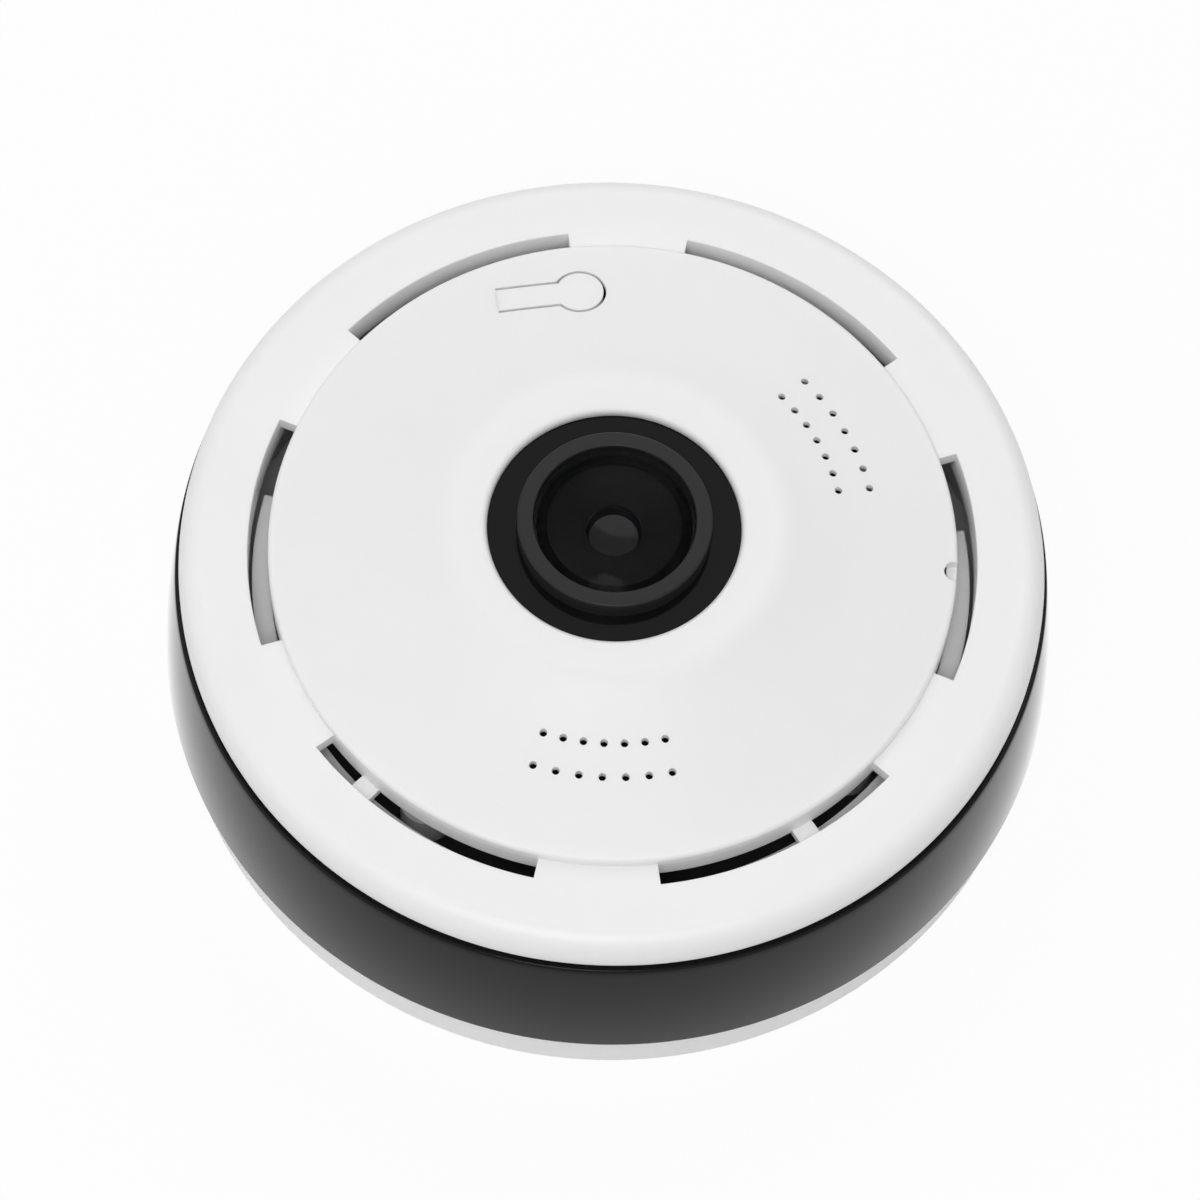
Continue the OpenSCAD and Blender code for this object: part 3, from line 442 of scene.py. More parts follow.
def new_object(name, shell):
    """A mesh object of closed shells with their faces turned outwards."""
    points, faces = shell
    mesh = bpy.data.meshes.new(name)
    mesh.from_pydata(points, [], faces)
    work = bmesh.new()
    work.from_mesh(mesh)
    bmesh.ops.recalc_face_normals(work, faces=work.faces)
    work.to_mesh(mesh)
    work.free()
    made = bpy.data.objects.new(name, mesh)
    bpy.context.scene.collection.objects.link(made)
    return made


def combined(body, tool_shell, operation):
    """The body cut, joined or met by the tool, with exact booleans."""
    tool = new_object("tool", tool_shell)
    step = body.modifiers.new("tool", "BOOLEAN")
    step.operation = operation
    step.solver = "EXACT"
    step.object = tool
    graph = bpy.context.evaluated_depsgraph_get()
    mesh = bpy.data.meshes.new_from_object(body.evaluated_get(graph))
    body.modifiers.clear()
    old = body.data
    body.data = mesh
    bpy.data.meshes.remove(old)
    bpy.data.objects.remove(tool)
    if not mesh.polygons:
        raise RuntimeError(f"nothing is left of {body.name}")
    return body


# How near a corner lies to the half section that gives its normal, how squarely its face
# looks that way, and how many corners are compared at once
NORMAL_REACH = 0.00012
NORMAL_FACING = 0.985
NORMAL_BATCH = 20000


def true_normals(body, section, smooth=radians(30)):
    """Sets each corner's normal from the half section where the face lies on it."""
    mesh = body.data
    mesh.shade_smooth()
    mesh.set_sharp_from_angle(angle=smooth)
    corners = len(mesh.loops)
    normal = np.zeros(corners * 3)
    mesh.corner_normals.foreach_get("vector", normal)
    normal = normal.reshape(-1, 3)
    place = np.zeros(len(mesh.vertices) * 3)
    mesh.vertices.foreach_get("co", place)
    which = np.zeros(corners, int)
    mesh.loops.foreach_get("vertex_index", which)
    place = place.reshape(-1, 3)[which]
    flat = np.zeros(len(mesh.polygons) * 3)
    mesh.polygons.foreach_get("normal", flat)
    total = np.zeros(len(mesh.polygons), int)
    mesh.polygons.foreach_get("loop_total", total)
    flat = np.repeat(flat.reshape(-1, 3), total, axis=0)
    radius = np.hypot(place[:, 0], place[:, 1])
    out = place[:, :2] / np.maximum(radius, 1e-9)[:, None]
    flat_r = (flat[:, :2] * out).sum(axis=1)
    samples = np.array(section)
    for at in range(0, corners, NORMAL_BATCH):
        part = slice(at, at + NORMAL_BATCH)
        gap = (np.square(radius[part, None] - samples[None, :, 0])
               + np.square(place[part, 2, None] - samples[None, :, 1]))
        facing = (flat_r[part, None] * samples[None, :, 2]
                  + flat[part, 2, None] * samples[None, :, 3])
        gap = np.where(facing > NORMAL_FACING, gap, 1.0)
        best = gap.argmin(axis=1)
        near = gap[np.arange(len(best)), best] < NORMAL_REACH ** 2
        slope = samples[best, 2:]
        exact = np.concatenate([out[part] * slope[:, :1], slope[:, 1:]], axis=1)
        normal[part] = np.where(near[:, None], exact, normal[part])
    mesh.normals_split_custom_set(normal.tolist())


def with_normals(runs, gap=0.00004):
    """Closely spaced points with normals along smooth runs of a half section."""
    rows = []
    for run in runs:
        line = np.array(run)
        ahead = np.diff(line, axis=0)
        tangent = np.vstack([ahead[:1], ahead[:-1] + ahead[1:], ahead[-1:]])
        tangent /= np.linalg.norm(tangent, axis=1)[:, None]
        side = np.stack([-tangent[:, 1], tangent[:, 0]], axis=1)
        for i, step in enumerate(ahead):
            count = max(1, int(hypot(*step) / gap))
            for k in range(count + 1):
                share = k / count
                point = line[i] + step * share
                mixed = side[i] * (1 - share) + side[i + 1] * share
                rows.append((*point, *(mixed / np.linalg.norm(mixed))))
    return rows


def put_on(body, body_name, finish, *nodes, slot=None):
    """Gives a piece its finish, the body that it rides on and the nodes that it stands for."""
    body.data.materials.clear()
    body.data.materials.append(finish_of(finish))
    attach(body, body_name)
    if nodes:
        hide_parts(*nodes)


# The cover's shape

# How far two faces stand apart, or a tool reaches past a face, so that a cut stays clean
TRIM = 0.00002
CLEAR = 0.001
# The fine groove above the skirt: its width, and its top below the ring's wall
GROOVE = 0.0001
GROOVE_TOP = 0.0012
# Where the plate's thin skin starts, outwards from the opening's edge
SKIN_START = 0.0045
# The slots: how many, the facets along one, and how deep the cut goes below the ring
SLOTS = 6
SLOT_STEPS = 48
SLOT_CUT = 0.006
# Sound holes in a row, how deep their cut goes below the ring, and their places in degrees
HOLES = 7
HOLE_CUT = 0.004
HOLE_STEP = 5
HOLE_MIDDLES = (-90, 30)
# Places of the two bridges and the notch in degrees, and how far the notch cuts the ring
BRIDGE_MIDDLES = (-131, -55)
NOTCH_ANGLE = -2
NOTCH_CUT = 0.0002
# A small turn keeps the cover's facets off the slots' ends
COVER_START = radians(0.37)


def cover_lines(s):
    """The smooth runs of the cover's outer face, from the lens to the rim."""
    z_plate = s.ring_z + s.step
    z_dome = z_plate + (s.plate_r - s.dome_r) * tan(s.tilt)
    z_top = z_dome + s.dome_h
    rise = s.dome_r - s.top_r
    slope = (rise ** 2 + s.dome_h ** 2) / (2 * (s.dome_h * cos(s.tilt) - rise * sin(s.tilt)))
    mid = (s.dome_r + slope * sin(s.tilt), z_dome + slope * cos(s.tilt))
    low = z_top - s.top_round
    crown = (mid[0] - sqrt((slope + s.top_round) ** 2 - (mid[1] - low) ** 2), low)
    lean = np.degrees(np.arctan2(mid[1] - crown[1], mid[0] - crown[0]))
    tilt = np.degrees(s.tilt)
    eye = arc((s.eye_r + s.eye_round, z_top - s.eye_round), s.eye_round, 180, 90, 10)
    top = [(s.eye_r + s.eye_round, z_top), ((s.eye_r + crown[0]) / 2, z_top)]
    crest = arc(crown, s.top_round, 90, lean, 10)
    flank = arc(mid, slope, lean + 180, 270 - tilt, 24)
    step_mid = (s.plate_r - s.step_round,
                z_plate + s.step_round * tan(s.tilt) - s.step_round / cos(s.tilt))
    edge = arc(step_mid, s.step_round, 90 - tilt, 0, 10)
    cone = along(flank[-1], edge[0], 8)
    rim_mid = (s.radius - s.rim_round, s.ring_z - s.rim_round)
    rim = arc(rim_mid, s.rim_round, 90, 0, 12)
    plate = eye + top[1:] + crest + flank[1:] + cone[1:] + edge
    ring = along((s.plate_r, s.ring_z), rim[0], 8) + rim + [(s.radius, s.low)]
    return plate, ring, z_top


def cover_section(s):
    """The whole half section of the cover, closed, with its skirt and the slots' walls."""
    plate, ring, z_top = cover_lines(s)
    slot_out = s.plate_r + s.slot_w
    under = s.ring_z - s.wall
    skirt_r, skirt_z = s.radius - s.skirt_in, s.low - s.skirt_h
    inner_r, inner_z = s.plate_r - s.slot_wall, s.ring_z - s.inner_h
    outer_r, outer_z = slot_out + s.slot_wall, s.ring_z - s.outer_h
    inner = [(r, z - s.skin) for r, z in reversed(plate)
             if s.eye_r + SKIN_START < r < inner_r]
    tube_in = s.eye_r + s.tube_gap
    tube_out, tube_z = tube_in + s.tube_wall, z_top - s.tube_h
    lip_z = z_top - s.eye_lip
    return [(s.eye_r, lip_z)] + plate + [(s.plate_r - TRIM, s.ring_z)] + ring[1:] + [
        (skirt_r + GROOVE, s.low), (skirt_r + GROOVE, under - GROOVE_TOP),
        (skirt_r, under - GROOVE_TOP), (skirt_r, skirt_z), (skirt_r - s.skirt_wall, skirt_z),
        (skirt_r - s.skirt_wall, under), (outer_r, under), (outer_r, outer_z),
        (slot_out - TRIM, outer_z), (slot_out - TRIM, under), (s.plate_r + TRIM, under),
        (s.plate_r + TRIM, inner_z), (inner_r, inner_z), (inner_r, inner[0][1])
    ] + inner + [
        (tube_out, z_top - s.wall), (tube_out, tube_z), (tube_in, tube_z), (tube_in, lip_z)
    ]


def slot_tools(s):
    """What the six vent slots take out, with a small flare at the outer edge."""
    out = s.plate_r + s.slot_w
    foot, top = s.ring_z - SLOT_CUT, s.ring_z + s.slot_flare * 2
    flare = arc((out + s.slot_flare, s.ring_z - s.slot_flare), s.slot_flare, 180, 90, 4)
    section = [(s.plate_r, foot), (out, foot)] + flare + [
        (out + s.slot_flare, top), (s.plate_r, top)]
    return [revolve(section, SLOT_STEPS, 2 * pi * i / SLOTS - s.slot_angle / 2, s.slot_angle)
            for i in range(SLOTS)]


def hole_tools(s, middle, z_top):
    """Two rows of sound holes round an angle in degrees."""
    first = middle - HOLE_STEP * (HOLES - 1) / 2
    return [prism(disc(r * cos(a), r * sin(a), s.hole_r), s.ring_z - HOLE_CUT, z_top + CLEAR)
            for r in (s.hole_in, s.hole_out)
            for a in (radians(first + HOLE_STEP * i) for i in range(HOLES))]


def tab_outline(t, grow):
    """The tab's keyhole outline at its place on the cover, grown by a margin."""
    radius, half = t.head_r + grow, t.width / 2 + grow
    turn = np.arcsin(half / radius)
    count = 40
    head = [(radius * cos(a), radius * sin(a))
            for a in (-pi + turn + (2 * pi - 2 * turn) * i / count for i in range(count + 1))]
    outline = [(-t.length, -half)] + head + [(-t.length, half)]
    x, y = t.place_r * cos(t.place_a), t.place_r * sin(t.place_a)
    c, d = cos(t.place_a - pi / 2), sin(t.place_a - pi / 2)
    return [(x + u * c - v * d, y + u * d + v * c) for u, v in outline]


class OBJECT_OT_fisheye_finishes(bpy.types.Operator):
    """Make the finishes of all the pieces"""
    bl_idname = "object.fisheye_finishes"
    bl_label = "Finishes"

    def execute(self, context):
        f = context.scene.fisheye_finishes
        FINISHES.update({
            "white": moulded("white plastic", tuple(f.white), 0.42, f.grain, 0.000004,
                             through=0.3),
            "white base": moulded("white base plastic", tuple(f.white), 0.46, f.grain, 0.000005,
                                  through=0.3),
            "black band": glossy("glossy black plastic", tuple(f.black), 0.06, level=0.1,
                                 coat=1.2),
            "window": glossy("smoked window", tuple(f.window), 0.08, level=0.065),
            "ring": moulded("lens ring enamel", tuple(f.ring), 0.34, 0.00015, 0.000002,
                            level=0.16),
            "glass": glass("coated front glass", (0.0016, 0.0017, 0.002), 0.02, 0.2,
                           alpha=0.1),
            "inner glass": glass("inner glass", (0.002, 0.002, 0.003), 0.05, 0.22),
            "lens black": moulded("lens black", (0.0012, 0.0012, 0.0013), 0.4, 0.0003,
                                  0.000004, level=0.04),
            "matt black": moulded("matt black plastic", (0.012, 0.012, 0.012), 0.6, 0.0003,
                                  0.00001),
            "resin": moulded("black chip resin", (0.02, 0.02, 0.021), 0.5, 0.00012, 0.000004),
            "board": moulded("board lacquer", (0.007, 0.008, 0.008), 0.45, 0.0009, 0.00001),
            "ribbon": moulded("ribbon film", (0.45, 0.45, 0.47), 0.4, 0.0004, 0.000004),
            "ivory": moulded("ivory nylon", (0.66, 0.63, 0.54), 0.5, 0.0003, 0.000004),
            "lamp": glossy("lamp resin", (0.16, 0.15, 0.11), 0.15),
            "foam": moulded("foam rubber", (0.02, 0.02, 0.02), 0.9, 0.0004, 0.00006),
            "steel": metal("plated steel", (0.58, 0.58, 0.6), 0.3),
            "aluminium": metal("extruded aluminium", (0.7, 0.7, 0.72), 0.35),
        })
        return {"FINISHED"}


class OBJECT_OT_fisheye_cover(bpy.types.Operator):
    """Make the white front cover with its dome, vent slots and sound holes"""
    bl_idname = "object.fisheye_cover"
    bl_label = "Front cover"

    def execute(self, context):
        s, t = context.scene.fisheye_cover, context.scene.fisheye_tab
        plate, ring, z_top = cover_lines(s)
        cover = new_object("cover", revolve(cover_section(s), s.steps, COVER_START))
        tools = slot_tools(s)
        for middle in HOLE_MIDDLES:
            tools += hole_tools(s, middle, z_top)
        tools.append(prism(tab_outline(t, t.slit), s.ring_z - CLEAR, z_top + CLEAR))
        combined(cover, merged(*tools), "DIFFERENCE")
        notch, place = radians(NOTCH_ANGLE), s.plate_r - s.notch_in
        combined(cover, prism(disc(place * cos(notch), place * sin(notch), s.notch_r, 40),
                              s.ring_z - NOTCH_CUT, z_top + CLEAR), "DIFFERENCE")
        true_normals(cover, with_normals([plate, ring[:-1]]))
        put_on(cover, "camera", "white", "front_cover", slot="white")
        r1, r2 = s.plate_r - s.bridge_in, s.plate_r + s.slot_w + s.bridge_in
        z2 = s.ring_z - s.inner_h + s.bridge_lap
        z1 = z2 - s.bridge_h
        half = s.bridge_w / (r1 + r2)
        ribs = [revolve([(r1, z1), (r2, z1), (r2, z2), (r1, z2)], 4,
                        radians(middle) - half, 2 * half) for middle in BRIDGE_MIDDLES]
        bridges = new_object("slot_bridges", merged(*ribs))
        put_on(bridges, "camera", "white", "front_cover", slot="white")
        return {"FINISHED"}


# The stretch of the plate's skin that the tab is cut from, and its facets
TAB_SKIN_START = 0.0255
TAB_SKIN_FROM = radians(85)
TAB_SKIN_TURN = radians(44)
TAB_SKIN_STEPS = 44


class OBJECT_OT_fisheye_tab(bpy.types.Operator):
    """Make the keyhole tab that bends in the cover, with its post"""
    bl_idname = "object.fisheye_tab"
    bl_label = "Reset tab"

    def execute(self, context):
        s, t = context.scene.fisheye_cover, context.scene.fisheye_tab
        plate, _, z_top = cover_lines(s)
        skin = [p for p in plate if TAB_SKIN_START < p[0] < s.plate_r - s.step_round]
        section = skin + [(r, z - t.thick) for r, z in reversed(skin)]
        tab = new_object("tab", revolve(section, TAB_SKIN_STEPS, TAB_SKIN_FROM, TAB_SKIN_TURN))
        combined(tab, prism(tab_outline(t, 0.0), s.ring_z - CLEAR, z_top), "INTERSECT")
        true_normals(tab, with_normals([plate]))
        put_on(tab, "tab", "white", "reset_tab", slot="white")
        x, y = t.place_r * cos(t.place_a), t.place_r * sin(t.place_a)
        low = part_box("reset_tab")[0][2]
        high = s.ring_z + s.step + (s.plate_r - t.place_r) * tan(s.tilt) - t.thick / 2
        post = new_object("tab_post", prism(disc(x, y, t.post_r, 32), low, high))
        put_on(post, "tab", "white", "reset_tab", slot="white")
        return {"FINISHED"}


# Facets round the casing, and the angle from which its edges are sharp
ROUND_STEPS = 384
SHARP = radians(24)
# How far the cuts for plug and card reach to both sides of the band, and the card's place
OPENING_CUT = 0.0065
CARD_ANGLE = 109


class OBJECT_OT_fisheye_band(bpy.types.Operator):
    """Make the glossy black side band with the openings at its rear"""
    bl_idname = "object.fisheye_band"
    bl_label = "Side band"

    def execute(self, context):
        c = context.scene.fisheye_casing
        lean, high = c.radius - c.top_r, c.groove_z - c.band_z
        chord = hypot(lean, high)
        swell = chord ** 2 / (8 * c.bulge) + c.bulge / 2
        back = swell - c.bulge
        mid = ((c.radius + c.top_r) / 2 - back * high / chord,
               (c.band_z + c.groove_z) / 2 - back * lean / chord)
        a0 = np.degrees(np.arctan2(c.band_z - mid[1], c.radius - mid[0]))
        a1 = np.degrees(np.arctan2(c.groove_z - mid[1], c.top_r - mid[0]))
        side = arc(mid, swell, a0, a1, 20)
        # The top lip is rounded in three points
        nip = c.edge / 2
        crest = [(c.top_r - nip * 0.3, c.groove_z - nip * 0.35), (c.top_r - nip, c.groove_z)]
        side = side[:-1] + [(side[-1][0] + TRIM, c.groove_z - nip)] + crest
        land, step_z = c.top_r - c.top_w, c.groove_z - c.top_t
        section = [(c.radius - c.wall, c.band_z)] + side + [
            (land, c.groove_z), (land, step_z), (c.top_r - c.wall, step_z - c.wall)]
        band = new_object("band", revolve(section, ROUND_STEPS))
        combined(band, merged(self.plug_tool(c), self.card_tool(c)), "DIFFERENCE")
        true_normals(band, with_normals([list(reversed(side))]), SHARP)
        put_on(band, "camera", "black band", "side_band", slot="black_gloss")
        return {"FINISHED"}

    def plug_tool(self, c):
        """What the opening for the plug takes out, at the rear."""
        across, up = c.plug_w / 2 - c.plug_round, c.plug_h / 2 - c.plug_round
        outline = []
        for sx, sz, start in ((1, 1, 0), (-1, 1, 90), (-1, -1, 180), (1, -1, 270)):
            outline += arc((sx * across, c.plug_z + sz * up), c.plug_round, start, start + 90, 6)
        points, faces = prism(outline, c.radius - OPENING_CUT, c.radius + OPENING_CUT)
        return [(x, z, y) for x, y, z in points], faces

    def card_tool(self, c):
        """What the opening for the memory card takes out, beside the plug."""
        a, half = radians(CARD_ANGLE), c.card_w / 2
        near, far = c.radius - OPENING_CUT, c.radius + OPENING_CUT
        corners = ((near, -half), (far, -half), (far, half), (near, half))
        outline = [(u * cos(a) - v * sin(a), u * sin(a) + v * cos(a)) for u, v in corners]
        return prism(outline, c.card_low, c.card_high)


# The twist lock's ledges, and the turn of a ledge and of the stop beside it, in degrees
LEDGES = 3
LEDGE_TURN = 18
RIB_TURN = 2
# Posts on the base: distance from the axis, radius, height of the top, angles in degrees
BASE_POSTS = (
    (0.037, 0.0032, 0.0222, (55, 145, 235, 325)),
    (0.034, 0.0025, 0.0154, (90, 211, -14)),
    (0.013 * sqrt(2), 0.0022, 0.0224, (45, 135, 225, 315)),
)


class OBJECT_OT_fisheye_base(bpy.types.Operator):
    """Make the white base ring with its recess, ledges and posts"""
    bl_idname = "object.fisheye_base"
    bl_label = "Base"

    def execute(self, context):
        c, s = context.scene.fisheye_casing, context.scene.fisheye_base
        out, foot_r = c.base_r, c.foot_round
        lip = arc((out - c.edge, c.band_z - c.edge), c.edge, 0, 90, 8)
        foot = arc((out - foot_r, c.base_z + foot_r), foot_r, -90, 0, 4)
        skin_r, skin_z = s.recess_r + c.wall, c.base_z + c.wall
        section = [(AXIS_GAP, s.ceiling), (s.recess_r, s.ceiling), (s.recess_r, c.base_z)]
        section += foot + lip + [
            (s.rim_r, c.band_z), (s.rim_r, s.rim_top), (s.rim_in, s.rim_top), (s.rim_in, skin_z),
            (skin_r, skin_z), (skin_r, s.floor), (AXIS_GAP, s.floor)]
        parts = [revolve(section, ROUND_STEPS)]
        for i in range(LEDGES):
            middle = 180 / LEDGES + 360 * i / LEDGES
            parts.append(self.ring_piece(s, s.ledge_top, middle, LEDGE_TURN))
            at = middle - (LEDGE_TURN + RIB_TURN / 2) / 2
            parts.append(self.ring_piece(s, s.rib_top, at, RIB_TURN))
        for place, radius, top, angles in BASE_POSTS:
            for a in (radians(angle) for angle in angles):
                around = disc(place * cos(a), place * sin(a), radius, 40)
                parts.append(prism(around, s.ceiling + s.rooted, top))
        base = new_object("base", merged(*parts))
        true_normals(base, with_normals([list(reversed(foot + lip))]), SHARP)
        put_on(base, "camera", "white base", "base_shell", slot="white")
        return {"FINISHED"}

    def ring_piece(self, s, top, middle, turn):
        """A ledge or stop of the twist lock, by its middle and turn in degrees."""
        section = [(s.ledge_in, s.ledge_low), (s.ledge_out, s.ledge_low), (s.ledge_out, top),
                   (s.ledge_in, top)]
        return revolve(section, max(3, turn), radians(middle - turn / 2), radians(turn))


# Facets round the lens ring and the window, and round the front glass
LENS_STEPS = 192
GLASS_STEPS = 160


class OBJECT_OT_fisheye_lens(bpy.types.Operator):
    """Make the lens ring, the front glass and the black window round them"""
    bl_idname = "object.fisheye_lens"
    bl_label = "Lens"

    def execute(self, context):
        s = context.scene.fisheye_lens
        self.barrel(s)
        self.front_glass(s)
        self.window(s)
        return {"FINISHED"}

    def barrel(self, s):
        """The dark ring with the rooms for the lenses and the tail below it."""
        z_low, z_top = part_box("lens_barrel")[0][2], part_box("lens_barrel")[1][2]
        r, g, lip, nip = s.ring_r, s.glass_r, s.lip_round, s.bore_round
        edge = arc((r - lip, z_top - lip), lip, 0, 90, 6)
        edge += arc((g + nip, z_top - nip), nip, 90, 180, 5)
        shoulder = z_top - s.ring_h - s.ring_slope
        seat = z_top - s.glass_drop - s.glass_edge
        baffle = seat - s.baffle_h
        room = baffle - s.inner_h
        foot = room - s.rear_h
        section = [(s.tail_bore, z_low), (s.tail_r, z_low), (s.tail_r, shoulder),
                   (r - s.ring_slope, shoulder), (r, z_top - s.ring_h)] + edge + [
            (g, seat), (g - s.glass_drop, seat), (g - s.glass_drop, baffle),
            (s.inner_r, baffle), (s.inner_r, room), (s.rear_r, room), (s.rear_r, foot),
            (s.tail_bore, foot)]
        made = new_object("lens_ring", revolve(section, LENS_STEPS))
        true_normals(made, with_normals([list(reversed(edge))]), SHARP)
        put_on(made, "camera", "ring", "lens_barrel", slot="barrel")

    def front_glass(self, s):
        """The bulging glass, from the ring's edge to the height of the solid's top."""
        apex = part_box("front_lens")[1][2]
        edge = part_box("lens_barrel")[1][2] - s.glass_drop
        g, rise = s.glass_r, apex - edge
        ball = (g * g + rise * rise) / (2 * rise)
        sweep = np.degrees(np.arcsin(g / ball))
        dome = arc((0, apex - ball), ball, 90, 90 - sweep, 40)
        dome[0] = (AXIS_GAP, apex)
        seat = edge - s.glass_edge
        section = dome + [(g, seat), (AXIS_GAP, seat)]
        made = new_object("front_glass", revolve(section, GLASS_STEPS))
        true_normals(made, with_normals([dome]))
        put_on(made, "camera", "glass", "front_lens", slot="lens_glass")

    def window(self, s):
        """The flat black window ring."""
        low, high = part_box("ir_window")[0][2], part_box("ir_window")[1][2]
        near, far = s.ring_r + s.window_gap, s.window_r
        made = new_object("window_ring", revolve(
            [(near, low), (far, low), (far, high), (near, high)], LENS_STEPS))
        true_normals(made, with_normals([[(s.ring_r, high), (far, high)]]))
        put_on(made, "camera", "window", "ir_window", slot="window")


# The finishes of the pieces that are carried over from the solids
NODE_FINISHES = {
    "white base": ("mounting_plate", "slot_wall_ring"),
    "inner glass": ("inner_lens", "rear_lens", "ir_filter"),
    "lens black": ("lens_baffle", "aperture_ring"),
    "matt black": ("lens_holder", "switch_plunger", "loudspeaker", "microphone"),
    "resin": ("image_sensor", "processor", "memory_chips", "switch_body", "memory_card",
              "wifi_antenna"),
    "board": ("sensor_board", "lamp_board", "main_board"),
    "ribbon": ("sensor_cable",),
    "ivory": ("cable_sockets",),
    "lamp": ("infrared_lamps",),
    "foam": ("speaker_gasket", "microphone_boot"),
    "steel": ("wifi_module", "power_inlet", "card_socket", "cover_screws", "board_screws",
              "holder_screws"),
    "aluminium": ("heat_sink",),
}


class OBJECT_OT_fisheye_inside(bpy.types.Operator):
    """Give the carried-over pieces their finishes"""
    bl_idname = "object.fisheye_inside"
    bl_label = "Inner pieces"

    def execute(self, context):
        for finish, names in NODE_FINISHES.items():
            for name in names:
                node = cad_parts[name]
                node.data.materials.clear()
                node.data.materials.append(finish_of(finish))
        return {"FINISHED"}


# Where each lamp stands and how wide it is
LAMPS = {
    "key": ((-0.75, -0.1, 0.75), 1.0),
    "back": ((0.1, 0.8, 0.8), 1.0),
    "front": ((-0.05, -0.47, 0.99), 0.5),
}
# The floor's half width, and the share of it that is white where it is looked at
FLOOR_HALF = 3.0
FLOOR_LIGHT = 0.93
# The picture's camera: focal length and sensor in millimetres, its place and two of its axes
FOCAL_LENGTH = 147.68
SENSOR_WIDTH = 36
CAMERA_PLACE = Vector((-0.004016, -0.269952, 0.573136))
CAMERA_RIGHT = Vector((0.9987, 0.04371, 0.0263))
CAMERA_DOWN = Vector((0.05081, -0.89826, -0.43652))


class OBJECT_OT_fisheye_stage(bpy.types.Operator):
    """Set up the floor, the soft light and the camera"""
    bl_idname = "object.fisheye_stage"
    bl_label = "Stage"

    def execute(self, context):
        scene, s = context.scene, context.scene.fisheye_studio
        self.floor(s)
        self.world(scene, s)
        for name, (place, across) in LAMPS.items():
            self.lamp(name, place, across, getattr(s, name))
        self.camera(scene)
        scene.view_settings.view_transform = "Standard"
        return {"FINISHED"}

    def floor(self, s):
        """A floor that looks white and keeps a part of the object's shadow."""
        half = FLOOR_HALF
        mesh = bpy.data.meshes.new("floor")
        mesh.from_pydata([(-half, -half, 0), (half, -half, 0), (half, half, 0), (-half, half, 0)],
                         [], [(0, 1, 2, 3)])
        floor = bpy.data.objects.new("floor", mesh)
        bpy.context.scene.collection.objects.link(floor)
        made = bpy.data.materials.new("floor")
        made.use_nodes = True
        f = Finish(made.node_tree)
        seen = self.seen(f)
        matt = f.node("ShaderNodeBsdfDiffuse", {}, {"Color": (*s.floor, 1)})
        light = f.node("ShaderNodeEmission", {}, {"Color": (1, 1, 1, 1), "Strength": 1.0})
        mixed = f.node("ShaderNodeMixShader", {}, {0: seen * FLOOR_LIGHT, 1: matt, 2: light})
        f.to_output("ShaderNodeOutputMaterial", mixed)
        floor.data.materials.append(made)

    def seen(self, f):
        """1 where the camera, a reflection or a view through glass looks."""
        path = {name: f.node("ShaderNodeLightPath", output=name)
                for name in ("Is Camera Ray", "Is Glossy Ray", "Is Transmission Ray")}
        return path["Is Camera Ray"].most(path["Is Glossy Ray"]).most(path["Is Transmission Ray"])

    def world(self, scene, s):
        """Even light from all round, before a background that looks white."""
        world = bpy.data.worlds.new("studio")
        scene.world = world
        world.use_nodes = True
        f = Finish(world.node_tree)
        strength = self.seen(f) * (1 - s.fill) + s.fill
        sky = f.node("ShaderNodeBackground", {}, {"Color": (1, 1, 1, 1), "Strength": strength})
        f.to_output("ShaderNodeOutputWorld", sky)

    def lamp(self, name, place, across, power):
        """A round soft lamp that faces the middle."""
        data = bpy.data.lights.new(name, "AREA")
        data.shape = "DISK"
        data.size = across
        data.energy = power
        lamp = bpy.data.objects.new(name, data)
        lamp.location = place
        lamp.rotation_euler = (-Vector(place)).to_track_quat("-Z", "Y").to_euler()
        bpy.context.scene.collection.objects.link(lamp)

    def camera(self, scene):
        """The camera that the photograph was taken from."""
        data = bpy.data.cameras.new("camera")
        data.sensor_width = SENSOR_WIDTH
        data.lens = FOCAL_LENGTH
        data.clip_start = 0.01
        camera = bpy.data.objects.new("camera", data)
        ahead = CAMERA_RIGHT.cross(CAMERA_DOWN).normalized()
        turn = Matrix((CAMERA_RIGHT, -CAMERA_DOWN, -ahead)).transposed().to_4x4()
        camera.matrix_world = Matrix.Translation(CAMERA_PLACE) @ turn
        scene.collection.objects.link(camera)
        scene.camera = camera


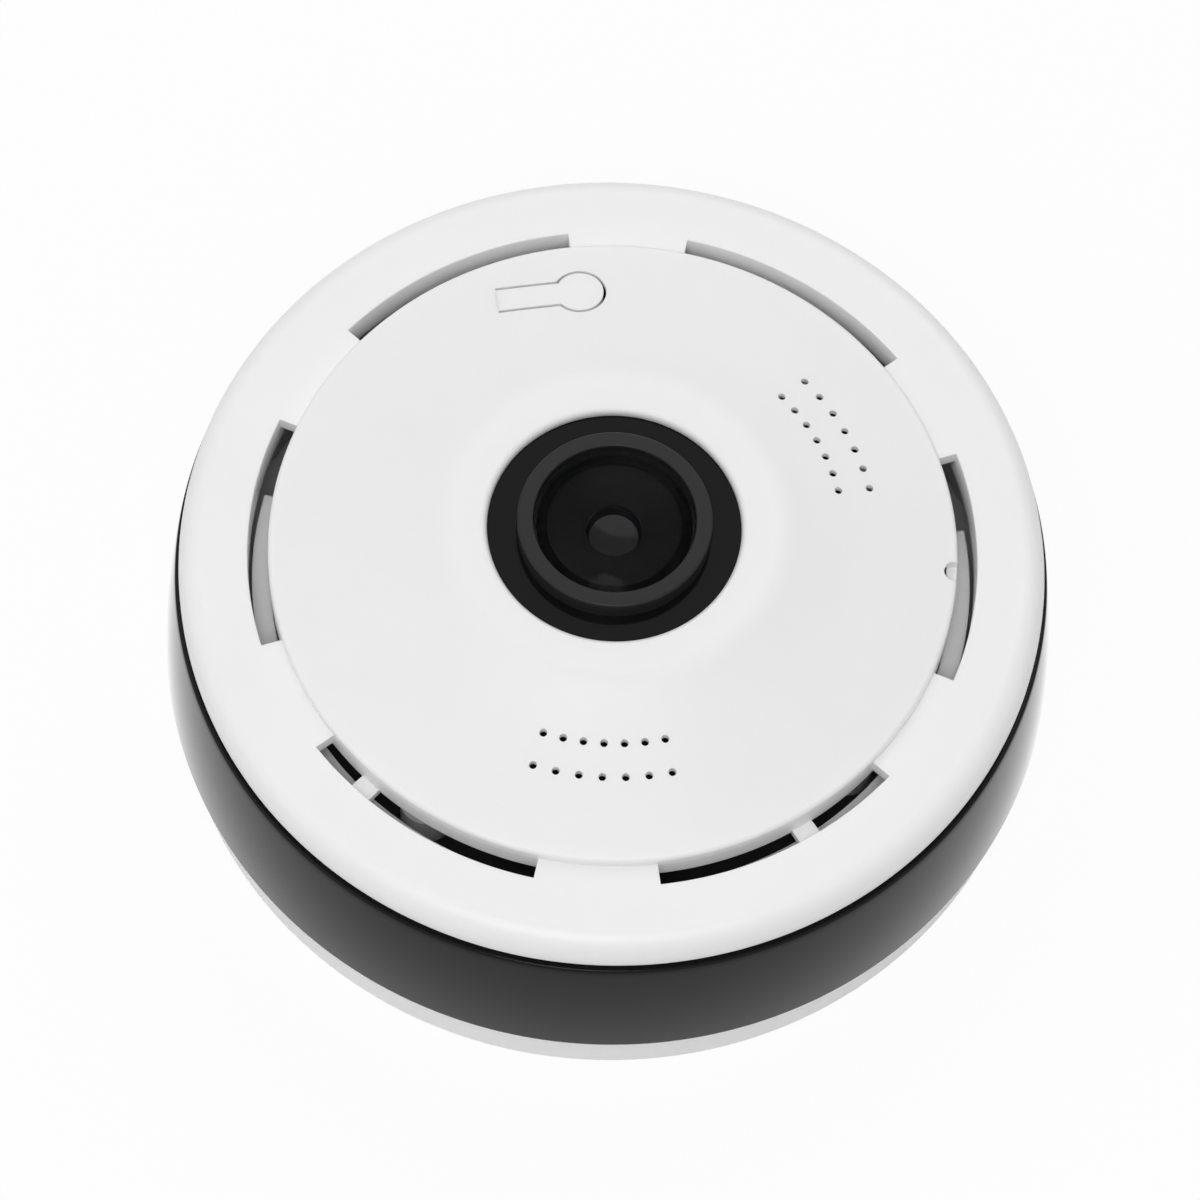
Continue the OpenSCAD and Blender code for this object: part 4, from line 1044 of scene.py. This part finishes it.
class VIEW3D_PT_fisheye(bpy.types.Panel):
    """The camera's pieces and sizes"""
    bl_idname = "VIEW3D_PT_fisheye"
    bl_label = "Fisheye camera"
    bl_space_type = "VIEW_3D"
    bl_region_type = "UI"
    bl_category = "Fisheye camera"

    def draw(self, context):
        layout = self.layout
        for label, group, operators in PANEL:
            box = layout.box()
            box.label(text=label)
            values = getattr(context.scene, group)
            for name in type(values).__annotations__:
                box.prop(values, name)
            for operator in operators:
                box.operator(operator)


PANEL = (
    ("Finishes", "fisheye_finishes", ("object.fisheye_finishes", "object.fisheye_inside")),
    ("Front cover", "fisheye_cover", ("object.fisheye_cover",)),
    ("Reset tab", "fisheye_tab", ("object.fisheye_tab",)),
    ("Lens", "fisheye_lens", ("object.fisheye_lens",)),
    ("Casing", "fisheye_casing", ("object.fisheye_band",)),
    ("Base", "fisheye_base", ("object.fisheye_base",)),
    ("Studio", "fisheye_studio", ("object.fisheye_stage",)),
)
GROUPS = {
    "fisheye_cover": CoverSizes,
    "fisheye_tab": TabSizes,
    "fisheye_casing": CasingSizes,
    "fisheye_base": BaseSizes,
    "fisheye_lens": LensSizes,
    "fisheye_finishes": Finishes,
    "fisheye_studio": StudioSettings,
}
OPERATORS = (
    OBJECT_OT_fisheye_finishes, OBJECT_OT_fisheye_cover, OBJECT_OT_fisheye_tab,
    OBJECT_OT_fisheye_band, OBJECT_OT_fisheye_base, OBJECT_OT_fisheye_lens,
    OBJECT_OT_fisheye_inside, OBJECT_OT_fisheye_stage,
)


def register():
    for kind in (*GROUPS.values(), *OPERATORS, VIEW3D_PT_fisheye):
        bpy.utils.register_class(kind)
    for name, group in GROUPS.items():
        setattr(bpy.types.Scene, name, PointerProperty(type=group))


def unregister():
    for name in GROUPS:
        delattr(bpy.types.Scene, name)
    for kind in (VIEW3D_PT_fisheye, *reversed(OPERATORS), *reversed(GROUPS.values())):
        bpy.utils.unregister_class(kind)


def main():
    register()
    bpy.ops.object.fisheye_finishes()
    bpy.ops.object.fisheye_cover()
    bpy.ops.object.fisheye_tab()
    bpy.ops.object.fisheye_band()
    bpy.ops.object.fisheye_base()
    bpy.ops.object.fisheye_lens()
    bpy.ops.object.fisheye_inside()
    bpy.ops.object.fisheye_stage()


if __name__ == "__main__":
    main()
